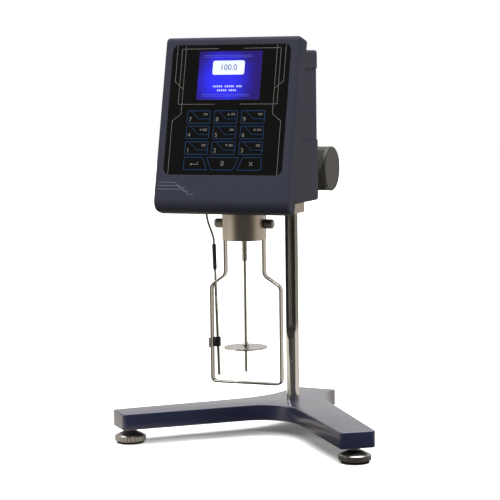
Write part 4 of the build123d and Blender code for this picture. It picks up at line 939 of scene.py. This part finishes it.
class VISCOMETER_OT_cast_base(bpy.types.Operator):
    """Casts the base: tapered legs, wide fillets where they meet, rounded edges, and its bores"""

    bl_idname = "viscometer.cast_base"
    bl_label = "Cast the Base"

    def execute(self, context):
        settings = context.scene.viscometer
        shape, finish = settings.base, settings.stand
        low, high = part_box("base_plate")
        back_foot = middle_of("foot_back") - POST_AXIS
        turn = math.atan2(-back_foot.x, back_foot.y)
        place = Matrix.Translation((POST_AXIS.x, POST_AXIS.y, 0.0)) @ Matrix.Rotation(turn, 4, "Z")
        # The edge colour paints a highlight along the base's edges. The high dust amount paints a reflection
        # of the pale backdrop on its top, as well as a little dust.
        enamel = moulded("navy_enamel", finish.enamel, finish.enamel_edge_highlight, edge=0.0012, grain=420.0,
                         depth=0.00002, rough=(0.30, 0.40), dust_and_sheen=0.13, Coat_Weight=0.8, Coat_Roughness=0.16)
        mesh = bmesh.new()
        add_rounded_plate(mesh, base_outline(shape), low.z, high.z, shape.edge, place)
        casting = finish_piece(mesh, "base_casting", enamel, "stand")
        self.bore(casting, shape, low.z, high.z)
        smooth_piece(casting)
        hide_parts("base_plate")
        return {"FINISHED"}

    def bore(self, casting, shape, bottom, top):
        """The post's seat, its bolt's hole and recess, and the three stud holes."""
        beyond = 0.001
        post_low, post_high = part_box("post")
        bolt_low, bolt_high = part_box("post_bolt")
        stud_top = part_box("foot_back")[1].z + beyond
        seat = (post_high.x - post_low.x) / 2 + shape.seat_gap
        recess = (bolt_high.x - bolt_low.x) / 2 + shape.recess_gap
        under, recess_top = bottom - beyond, bottom + shape.recess_depth
        cutter = bmesh.new()
        add_lathe(cutter, POST_AXIS, ((0.0, under), (recess, under), (recess, recess_top),
                                      (shape.bore, recess_top), (shape.bore, post_low.z), (seat, post_low.z),
                                      (seat, top + beyond), (0.0, top + beyond)))
        for side in SIDES:
            add_lathe(cutter, middle_of(f"foot_{side}"),
                      ((0.0, under), (shape.bore, under), (shape.bore, stud_top), (0.0, stud_top)))
        drill(casting, cutter)


class VISCOMETER_OT_mill_post(bpy.types.Operator):
    """Makes the post: a round bar with a milled flat that runs out in an arch, and the rack's groove"""

    bl_idname = "viscometer.mill_post"
    bl_label = "Mill the Post"

    def execute(self, context):
        settings = context.scene.viscometer
        bars = settings.bars
        low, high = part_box("post")
        rack_low, rack_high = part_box("rack_strip")
        radius = (high.x - low.x) / 2
        chrome = post_chrome(settings.stand, rack_low.z)
        mesh = bmesh.new()
        beyond = 0.003
        body = ((0.0, low.z), (radius, low.z), (radius, high.z - bars.post_bevel),
                (radius - bars.post_bevel, high.z), (0.0, high.z))
        add_lathe(mesh, POST_AXIS, body, sides=96)
        post = finish_piece(mesh, "post_bar", chrome, "stand")
        front, flat = POST_AXIS.y - radius - beyond, POST_AXIS.y - bars.flat
        flat_end = rack_low.z - bars.flat_above
        slope = (radius - bars.flat) / bars.run_out
        cutter = bmesh.new()
        above, run_out_end = high.z + beyond, flat_end - (flat - front) / slope
        add_prism(cutter, ((flat, above), (flat, flat_end), (front, run_out_end), (front, above)),
                  low.x - beyond, high.x + beyond)
        drill(post, cutter)
        groove = bmesh.new()
        add_prism(groove, ((front, rack_low.z), (rack_high.y, rack_low.z), (rack_high.y, rack_high.z),
                           (front, rack_high.z)), rack_low.x - bars.groove_gap, rack_high.x + bars.groove_gap)
        drill(post, groove)
        smooth_piece(post, 20.0)
        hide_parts("post")
        return {"FINISHED"}


class VISCOMETER_OT_finish_stand(bpy.types.Operator):
    """Finishes the rack, the levelling feet with their pads, and the post's bolt"""

    bl_idname = "viscometer.finish_stand"
    bl_label = "Finish the Stand"

    def execute(self, context):
        settings = context.scene.viscometer.stand
        rack = brushed("milled_rack", settings.rack_steel, (3000.0, 900.0, 3000.0), rough=(0.35, 0.5))
        assign(rack, "rack_strip")
        rubber = moulded("pad_rubber", *BLACK_RUBBER, rough=(0.6, 0.8), depth=0.00003)
        for side in SIDES:
            foot = f"foot_{side}"
            steel = turned(f"turned_{foot}", settings.foot_steel, middle_of(foot), scale=1800.0,
                           rough=(0.28, 0.42))
            assign(steel, foot)
            assign(rubber, f"foot_pad_{side}")
        assign(moulded("black_oxide", *BOLT_OXIDE, rough=(0.3, 0.45), Metallic=1.0), "post_bolt")
        return {"FINISHED"}


class VISCOMETER_OT_finish_head(bpy.types.Operator):
    """Finishes the head's shells, its clamp, knob and sockets"""

    bl_idname = "viscometer.finish_head"
    bl_label = "Finish the Head"

    def execute(self, context):
        settings = context.scene.viscometer.head
        # The shell's edge colour paints a highlight along its rounded edges.
        shell = moulded("satin_shell", settings.shell, settings.shell_edge_highlight, edge=0.0010, grain=2600.0,
                        depth=0.000010, rough=(0.46, 0.56), dust_and_sheen=0.03, IOR=1.13)
        assign(shell, "front_cover", "bottom_housing", "middle_wrap", "top_cap")
        sheet = moulded("gloss_sheet", settings.sheet, settings.sheet, edge=0.0003, grain=900.0,
                        depth=0.000002, rough=(0.14, 0.24), dust_and_sheen=0.01, Specular_IOR_Level=0.35)
        assign(sheet, "panel_sheet")
        knob = moulded("knob_plastic", settings.knob, settings.knob_edge, edge=0.0006, grain=2600.0,
                       depth=0.00001, rough=(0.36, 0.46), dust_and_sheen=0.03, IOR=1.38)
        assign(knob, "lift_knob", "knob_cap")
        block = brushed("anodised_block", settings.anodised, (1800.0, 250.0, 1800.0), depth=0.000004,
                        rough=(0.38, 0.5), edge=0.0005, dark=0.9)
        assign(block, "clamp_block", "level_bezel")
        arm = brushed("arm_chrome", settings.arm, (900.0, 30.0, 900.0), depth=0.000001, rough=(0.06, 0.12),
                      dark=0.93)
        assign(arm, "arm_rod")
        assign(moulded("black_moulding", *BLACK_MOULDING, rough=(0.38, 0.55)),
               "mains_inlet", "power_switch", "switch_rocker", "probe_socket")
        assign(moulded("oxide_screws", *SCREW_OXIDE, edge=0.0002, rough=(0.25, 0.4), Metallic=1.0),
               "housing_screws", "arm_screws", "arm_clamp_screw", "drag_screw")
        assign(brushed("port_shell", (0.5, 0.5, 0.5), (1500.0, 60.0, 1500.0)), "data_port")
        assign(vial_glass(), "level_vial")
        return {"FINISHED"}


class VISCOMETER_OT_finish_measuring(bpy.types.Operator):
    """Finishes the guard, its mount and screws, the spindle and the temperature probe"""

    bl_idname = "viscometer.finish_measuring"
    bl_label = "Finish the Measuring Parts"

    def bend_guard(self, bars, material):
        """The guard: one strip bent into a frame that narrows to the mount."""
        low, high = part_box("guard")
        mount_low, mount_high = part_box("guard_mount")
        middle = (mount_low.x + mount_high.x) / 2
        half = bars.strip_thickness / 2
        narrow = (mount_high.x - mount_low.x) / 2 - half
        left, right = [[Vector((side * wide, low.z + bars.guard_rise + half)),
                        Vector((side * wide, low.z + bars.joggle_bottom)),
                        Vector((side * narrow, low.z + bars.joggle_top)), Vector((side * narrow, high.z))]
                       for side, wide in ((-1, bars.guard_left), (1, bars.guard_right))]
        corners = left[::-1] + right
        radii = (bars.bend, bars.bend, bars.foot_bend, bars.foot_bend, bars.bend, bars.bend)
        path = [corners[0]]
        for before, corner, after, radius in zip(corners, corners[1:], corners[2:], radii):
            path += arc_corner(before, corner, after, radius, 8)
        path.append(corners[-1])
        path = [Vector((point.x + middle, point.y)) for point in path]
        mesh = bmesh.new()
        add_strip(mesh, path, bars.strip_width, bars.strip_thickness, bars.strip_edge, (low.y + high.y) / 2)
        guard = finish_piece(mesh, "strip_guard", material, "head")
        smooth_piece(guard, 50.0)
        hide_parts("guard")

    def clip_probe(self, probe):
        """The clip that holds the probe to the guard, drawn in towards the probe's side."""
        clip = fuller("probe_clip", "probe_bracket", clip_plastic(), probe.clip, "head")
        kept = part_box("probe_clip")[1].x
        narrower = Matrix.Scale(probe.clip_share, 4, (1.0, 0.0, 0.0))
        clip.data.transform(Matrix.Translation((kept, 0.0, 0.0)) @ narrower
                            @ Matrix.Translation((-kept, 0.0, 0.0)))

    def execute(self, context):
        settings, probe = context.scene.viscometer.head, context.scene.viscometer.probe
        # The mount's anodising is made 1.35 times paler than the clamp block's: painted light on the mount.
        axis, painted_light_gain = SPINDLE_AXIS, 1.35
        mount = turned("anodised_mount", shaded(settings.anodised, painted_light_gain), axis, scale=1500.0, depth=0.000004,
                       rough=(0.30, 0.38))
        assign(mount, "guard_mount")
        strip = brushed("guard_strip", settings.steel, (2600.0, 2600.0, 40.0), depth=0.000003,
                        rough=(0.16, 0.28))
        self.bend_guard(context.scene.viscometer.bars, strip)
        assign(brushed("thumb_screws", settings.screws, (60.0, 2600.0, 2600.0), rough=(0.42, 0.55)),
               "guard_screw_left", "guard_screw_right")
        spindle = turned("polished_spindle", settings.steel, axis, scale=2600.0, depth=0.000002,
                         rough=(0.10, 0.20))
        assign(spindle, "spindle", "spindle_coupling", "pivot_shaft")
        rod = brushed("probe_steel", settings.steel, (2000.0, 2000.0, 60.0), depth=0.000002,
                      rough=(0.14, 0.24))
        fuller("probe_rod", "probe_tube", rod, probe.rod, "head")
        sleeve = moulded("shrink_sleeve", *BLACK_RUBBER, edge=0.0002, rough=(0.45, 0.6))
        fuller("probe_sleeve", "probe_shrink", sleeve, probe.sleeve, "head")
        sheath = moulded("lead_sheath", settings.lead, settings.lead_edge, edge=0.0002, rough=(0.4, 0.55))
        fuller("probe_lead", "probe_wire", sheath, probe.lead, "head")
        self.clip_probe(probe)
        return {"FINISHED"}


WORKS = {
    "brass": (("motor_pinion", "drive_gear", "plate_pillars"), (0.58, 0.40, 0.15)),
    "bronze": (("jewel_bearing", "upper_bearing", "pinion_bushes"), (0.42, 0.26, 0.12)),
    "bright_steel": (("torsion_spring", "drive_bearing", "lift_pinion", "motor"), (0.45, 0.44, 0.42)),
    "plate_alloy": (("chassis", "motor_plate", "signal_disc"), (0.62, 0.62, 0.62)),
}


class VISCOMETER_OT_finish_works(bpy.types.Operator):
    """Finishes the gears, bearings, boards and frames inside the head"""

    bl_idname = "viscometer.finish_works"
    bl_label = "Finish the Works"

    def execute(self, context):
        for name, (nodes, tint) in WORKS.items():
            assign(brushed(name, tint, (1500.0, 1500.0, 200.0), rough=(0.22, 0.36)), *nodes)
        board = moulded("circuit_board", *BOARD_GREEN, grain=900.0, rough=(0.3, 0.5))
        assign(board, "main_board", "keypad_board")
        assign(moulded("display_case", *CASE_GREY), "display_module")
        assign(moulded("sensor_case", *SENSOR_BLACK), "optical_sensor")
        assign(moulded("nylon", *NATURAL_NYLON, rough=(0.4, 0.5)), "drag_shoe")
        return {"FINISHED"}


NUMBER_KEYS = {(-1, 3): "7", (0, 3): "8", (1, 3): "9", (-1, 2): "4", (0, 2): "5", (1, 2): "6",
               (-1, 1): "1", (0, 1): "2", (1, 1): "3"}
ARROW_KEYS = {(0, 3): 90.0, (-1, 2): 180.0, (1, 2): 0.0, (0, 1): -90.0}


class VISCOMETER_OT_print_panel(bpy.types.Operator):
    """Prints the keys, numerals and trim lines on the front sheet"""

    bl_idname = "viscometer.print_panel"
    bl_label = "Print the Panel"

    def print_keys(self, settings, place):
        corner, tab_share = 0.0009, 0.8
        mesh = bmesh.new()
        outlines, tabs = key_outlines(settings)
        for outline in outlines:
            add_ribbon(mesh, round_corners(outline, corner), settings.key_line, settings.ink_height, place,
                       closed=True)
        for tab in tabs:
            add_ribbon(mesh, tab, settings.key_line * tab_share, settings.ink_height, place)
        finish_piece(mesh, "key_outlines", inked("blue_key_ink", settings.key_ink), "head")

    def print_numerals(self, settings, place):
        numeral_share, dash_share, arrow_share = (-0.74, -0.40), (0.62, 0.44), (0.24, 0.44)
        dash_reach, dash_rise, zero_share = 0.0024, 0.0007, 1.15
        arrow = ((0.0013, 0.0), (-0.0009, 0.0012), (-0.0009, -0.0012))
        mesh = bmesh.new()
        top = settings.ink_height
        for (column, row), numeral in NUMBER_KEYS.items():
            spot = key_spot(settings, column, row, numeral_share)
            add_text(mesh, numeral, settings.numeral, spot, place, top)
            mark = key_spot(settings, column, row, dash_share)
            for level in (-dash_rise, dash_rise):
                ends = [mark + Vector((side * dash_reach, level)) for side in (-1, 1)]
                add_ribbon(mesh, ends, SYMBOL_LINE, top, place)
        for (column, row), angle in ARROW_KEYS.items():
            spot = key_spot(settings, column, row, arrow_share)
            turn = Matrix.Rotation(math.radians(angle), 2)
            add_slab(mesh, [spot + turn @ Vector(corner) for corner in arrow], top, place)
        add_text(mesh, "0", settings.numeral * zero_share, key_middle(settings, 0, 0), place, top)
        self.print_symbols(mesh, settings, place)
        finish_piece(mesh, "key_numerals", inked("pale_numeral_ink", settings.ink), "head")

    def print_symbols(self, mesh, settings, place):
        """A return arrow on the left key and a clearing cross on the right one."""
        shaft = ((0.0030, 0.0018), (0.0030, -0.0008), (-0.0040, -0.0008))
        barb = ((-0.0062, -0.0008), (-0.0038, -0.0022), (-0.0038, 0.0006))
        cross_shift, cross_reach = 0.0015, 0.0020
        top = settings.ink_height
        left, right = key_middle(settings, -1, 0), key_middle(settings, 1, 0)
        add_ribbon(mesh, [left + Vector(point) for point in shaft], SYMBOL_LINE, top, place)
        add_slab(mesh, [left + Vector(point) for point in barb], top, place)
        for slant in (1, -1):
            ends = [right + Vector((cross_shift + side * cross_reach, side * slant * cross_reach))
                    for side in (-1, 1)]
            add_ribbon(mesh, ends, SYMBOL_LINE, top, place)

    def print_trim(self, settings, place):
        """A frame of fine lines round the display and a stepped pair down each side."""
        frame_half, frame_low, frame_high, gap = 0.0558, 0.0057, 0.0652, 0.0145
        rail, inner_rail, tuck = 0.0612, 0.0515, 0.0520
        head, foot = 0.0685, -0.0690
        outer_turn, outer_end, inner_turn, inner_end = 0.0300, 0.0225, -0.0047, -0.0122
        mesh = bmesh.new()
        width, top = settings.trim_width, settings.ink_height
        for side in (-1, 1):
            for level in (frame_low, frame_high):
                add_ribbon(mesh, [(side * gap, level), (side * frame_half, level)], width, top, place)
            for line in (((frame_half, frame_low), (frame_half, frame_high)),
                         ((rail, head), (rail, outer_turn), (tuck, outer_end)),
                         ((inner_rail, head), (inner_rail, inner_turn), (rail, inner_end), (rail, foot))):
                add_ribbon(mesh, [(side * reach, level) for reach, level in line], width, top, place)
        finish_piece(mesh, "trim_lines", inked("pale_trim_ink", settings.ink), "head")

    def execute(self, context):
        settings = context.scene.viscometer.panel
        place = sloped(SHEET_MIDDLE)
        self.print_keys(settings, place)
        self.print_numerals(settings, place)
        self.print_trim(settings, place)
        return {"FINISHED"}


class VISCOMETER_OT_light_display(bpy.types.Operator):
    """Lights the display: a blue ground, a white card with a plain reading, and bars under it"""

    bl_idname = "viscometer.light_display"
    bl_label = "Light the Display"

    def show_reading(self, settings, place, top):
        """The white card and its digits."""
        card_middle, card_corner, digit = Vector((-0.0015, 0.0082)), 0.0022, 0.0088
        mesh = bmesh.new()
        outline = rounded(settings.card_width, settings.card_height, card_corner)
        add_slab(mesh, [card_middle + corner for corner in outline], top, place)
        white = lit("lit_white", settings.card, settings.card_strength)
        finish_piece(mesh, "reading_card", white, "head")
        mesh = bmesh.new()
        above = place @ Matrix.Translation((0.0, 0.0, top))
        add_text(mesh, "100.0", digit, card_middle, above, top)
        finish_piece(mesh, "reading_digits", lit("lit_navy", settings.digits), "head")

    def show_bars(self, settings, place, top):
        """Two rows of short bars where a line of words would be."""
        pitch, bar, height, start = 0.0022, 0.0015, 0.0019, 0.0010
        word = 6
        mesh = bmesh.new()
        for level, reach in ((-0.0118, 0.0165), (-0.0160, 0.0115)):
            for index in range(int(reach / (pitch / 2))):
                if index % word == word - 1:
                    continue
                spot = -reach + index * pitch - start
                add_ribbon(mesh, [(spot, level), (spot + bar, level)], height, top, place)
        finish_piece(mesh, "display_bars", lit("lit_pale", settings.bars), "head")

    def show_rules(self, settings, place, top):
        """Thin rules above and below the picture."""
        left, right, width = -0.0300, 0.0240, 0.0003
        mesh = bmesh.new()
        for level in (0.0195, 0.0213, -0.0205, -0.0222):
            add_ribbon(mesh, [(left, level), (right, level)], width, top, place)
        finish_piece(mesh, "display_rules", lit("lit_rule", settings.rules), "head")

    def execute(self, context):
        settings = context.scene.viscometer.display
        top = context.scene.viscometer.panel.ink_height
        assign(display_glass(settings), "screen_window")
        place = sloped(SCREEN_MIDDLE)
        self.show_reading(settings, place, top)
        self.show_bars(settings, place, top)
        self.show_rules(settings, place, top)
        return {"FINISHED"}


class VISCOMETER_OT_mark_cover(bpy.types.Operator):
    """Prints plain pale stripes on the chin of the front cover"""

    bl_idname = "viscometer.mark_cover"
    bl_label = "Mark the Cover"

    def execute(self, context):
        settings = context.scene.viscometer.panel
        highest, spacing, first_end, longer = -0.0776, 0.0036, -0.0520, 0.0050
        drop, tail, inset = 0.0055, 0.006, 0.0042
        chin = SHEET_MIDDLE + (COVER_MIDDLE - SHEET_MIDDLE).dot(FACE_OUT) * FACE_OUT
        place = sloped(chin)
        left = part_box("front_cover")[0].x - SHEET_MIDDLE.x + inset
        mesh = bmesh.new()
        for row in range(3):
            level, end = highest - row * spacing, first_end + row * longer
            stripe = [(left, level), (end, level), (end + drop, level - drop),
                      (end + drop + tail, level - drop)]
            add_ribbon(mesh, stripe, settings.trim_width, settings.ink_height, place)
        finish_piece(mesh, "chin_stripes", inked("chin_ink", settings.chin_ink), "head")
        return {"FINISHED"}


FLOOR_SHADES = ((0.87, 0.87, 0.87), (0.88, 0.88, 0.88))
FLOOR_GLOW = (1.0, 0.99, 0.98, 1.0)
LIT_PLACE = (0.0, 0.0, 0.25)
SOFTBOXES = (
    {"name": "left_softbox", "place": (-2.2, -1.2, 1.3), "size": (1.2, 1.6), "share": 1.0,
     "tint": (1.0, 0.98, 0.95), "mirrored": True},
    {"name": "right_softbox", "place": (2.2, -0.6, 1.2), "size": (0.9, 1.4), "share": 0.16,
     "tint": (1.0, 0.98, 0.95), "mirrored": True},
    {"name": "front_softbox", "place": (1.3, -2.2, 2.0), "size": (1.2, 1.2), "share": 2.6,
     "tint": (1.0, 0.99, 0.97), "mirrored": False},
)


def seen_apart(tree, reflected, seen, surface):
    """Shows one shader to the camera and another to every other ray."""
    mix = tree.nodes.new("ShaderNodeMixShader")
    tree.links.new(tree.nodes.new("ShaderNodeLightPath").outputs["Is Camera Ray"], mix.inputs["Fac"])
    tree.links.new(reflected.outputs[0], mix.inputs[1])
    tree.links.new(seen.outputs[0], mix.inputs[2])
    tree.links.new(mix.outputs[0], surface)

class VISCOMETER_OT_build_studio(bpy.types.Operator):
    """Lays a plain pale floor, soft lights and the camera"""

    bl_idname = "viscometer.build_studio"
    bl_label = "Build the Studio"

    def lay_floor(self, settings):
        mesh = bmesh.new()
        bmesh.ops.create_circle(mesh, cap_ends=True, segments=settings.floor_sides,
                                radius=settings.floor_radius)
        data = bpy.data.meshes.new("floor")
        mesh.to_mesh(data)
        mesh.free()
        data.materials.append(self.floor_material(settings))
        floor = bpy.data.objects.new("floor", data)
        bpy.context.scene.collection.objects.link(floor)

    def floor_material(self, settings):
        """A white sweep. Reflections see it lit under and behind the object, and dim in front."""
        material, tree, shader = new_material("pale_floor", Specular_IOR_Level=0.0, Roughness=1.0,
                                              Emission_Color=FLOOR_GLOW,
                                              Emission_Strength=settings.floor_lift)
        fine = effect(tree, "Fine Grain", Grain_Scale=200.0, Cloud_Scale=1.5)
        tree.links.new(mix_colours(tree, fine.outputs["Cloud"], *FLOOR_SHADES), shader.inputs["Base Color"])
        heading = vector_maths(tree, "NORMALIZE", object_place(tree))
        ahead = vector_maths(tree, "DOT_PRODUCT", heading, settings.front_heading)
        front = rise(tree, ahead, settings.front_start, settings.front_full)
        dim = tree.nodes.new("ShaderNodeBsdfDiffuse")
        tree.links.new(mix_colours(tree, front, settings.table, settings.table_far), dim.inputs["Color"])
        seen_apart(tree, dim, shader, tree.nodes["Material Output"].inputs["Surface"])
        return material

    def paint_world(self, settings, scene):
        """White for the camera. Reflections see a pale backdrop behind and a dark room in front."""
        world = bpy.data.worlds.new("studio")
        world.use_nodes = True
        tree = world.node_tree
        tree.nodes.clear()
        seen = tree.nodes.new("ShaderNodeBackground")
        seen.inputs["Color"].default_value = (1.0, 1.0, 1.0, 1.0)
        room = tree.nodes.new("ShaderNodeBackground")
        heading = tree.nodes.new("ShaderNodeTexCoord").outputs["Generated"]
        behind = rise(tree, parts(tree, heading)["Y"], settings.backdrop_start, settings.backdrop_full)
        tree.links.new(mix_colours(tree, behind, settings.room, settings.backdrop), room.inputs["Color"])
        seen_apart(tree, room, seen, tree.nodes.new("ShaderNodeOutputWorld").inputs["Surface"])
        scene.world = world

    def hang_sky(self, settings):
        """A wide, even light straight above, so that the floor is white and shadows are soft."""
        data = bpy.data.lights.new("overhead", "SUN")
        data.energy = settings.sky_strength
        data.angle = settings.sky_spread
        bpy.context.scene.collection.objects.link(bpy.data.objects.new("overhead", data))

    def hang_softbox(self, name, place, size, share, tint, mirrored, watts):
        data = bpy.data.lights.new(name, "AREA")
        data.shape = "RECTANGLE"
        data.size, data.size_y = size
        data.energy = watts * share
        data.color = tint
        light = bpy.data.objects.new(name, data)
        light.visible_glossy = mirrored
        light.location = place
        light.rotation_mode = "QUATERNION"
        light.rotation_quaternion = (Vector(LIT_PLACE) - Vector(place)).to_track_quat("-Z", "Y")
        bpy.context.scene.collection.objects.link(light)

    def place_camera(self, settings, scene):
        heading, dip, roll = settings.camera_heading, settings.camera_dip, settings.camera_roll
        right = Vector((math.cos(heading), math.sin(heading), 0.0))
        level = Vector((-math.sin(heading), math.cos(heading), 0.0)) * math.cos(dip)
        ahead = level - Vector((0.0, 0.0, math.sin(dip)))
        up = right.cross(ahead)
        rolled_right = math.cos(roll) * right + math.sin(roll) * up
        rolled_up = math.cos(roll) * up - math.sin(roll) * right
        data = bpy.data.cameras.new("camera")
        data.lens = settings.camera_lens
        data.sensor_width = 36.0
        data.clip_end = 50.0
        camera = bpy.data.objects.new("camera", data)
        turn = Matrix((rolled_right, rolled_up, -ahead)).transposed().to_4x4()
        camera.matrix_world = Matrix.Translation(settings.camera_place) @ turn
        scene.collection.objects.link(camera)
        scene.camera = camera

    def execute(self, context):
        settings = context.scene.viscometer.studio
        scene = context.scene
        self.lay_floor(settings)
        self.paint_world(settings, scene)
        self.hang_sky(settings)
        for softbox in SOFTBOXES:
            self.hang_softbox(**softbox, watts=settings.softbox_watts)
        self.place_camera(settings, scene)
        scene.view_settings.view_transform = "Standard"
        return {"FINISHED"}


class VISCOMETER_PT_tools(bpy.types.Panel):
    """The add-on's steps, in the order they are run"""

    bl_idname = "VISCOMETER_PT_tools"
    bl_label = "Viscometer"
    bl_space_type = "VIEW_3D"
    bl_region_type = "UI"
    bl_category = "Viscometer"

    def draw(self, context):
        for step in STEPS:
            self.layout.operator(step.bl_idname)


STEPS = (
    VISCOMETER_OT_build_studio,
    VISCOMETER_OT_cast_base,
    VISCOMETER_OT_mill_post,
    VISCOMETER_OT_finish_stand,
    VISCOMETER_OT_finish_head,
    VISCOMETER_OT_finish_measuring,
    VISCOMETER_OT_finish_works,
    VISCOMETER_OT_print_panel,
    VISCOMETER_OT_light_display,
    VISCOMETER_OT_mark_cover,
)
SETTINGS = (StandFinish, BaseShape, BarShape, ProbeShape, HeadFinish, PanelPrint, DisplayPicture, Studio,
            ViscometerSettings)


def register():
    for item in (*SETTINGS, *STEPS, VISCOMETER_PT_tools):
        bpy.utils.register_class(item)
    bpy.types.Scene.viscometer = PointerProperty(type=ViscometerSettings)


def unregister():
    del bpy.types.Scene.viscometer
    for item in reversed((*SETTINGS, *STEPS, VISCOMETER_PT_tools)):
        bpy.utils.unregister_class(item)


def main():
    """Runs every step."""
    register()
    for step in STEPS:
        group, name = step.bl_idname.split(".")
        getattr(getattr(bpy.ops, group), name)()


if __name__ == "__main__":
    main()
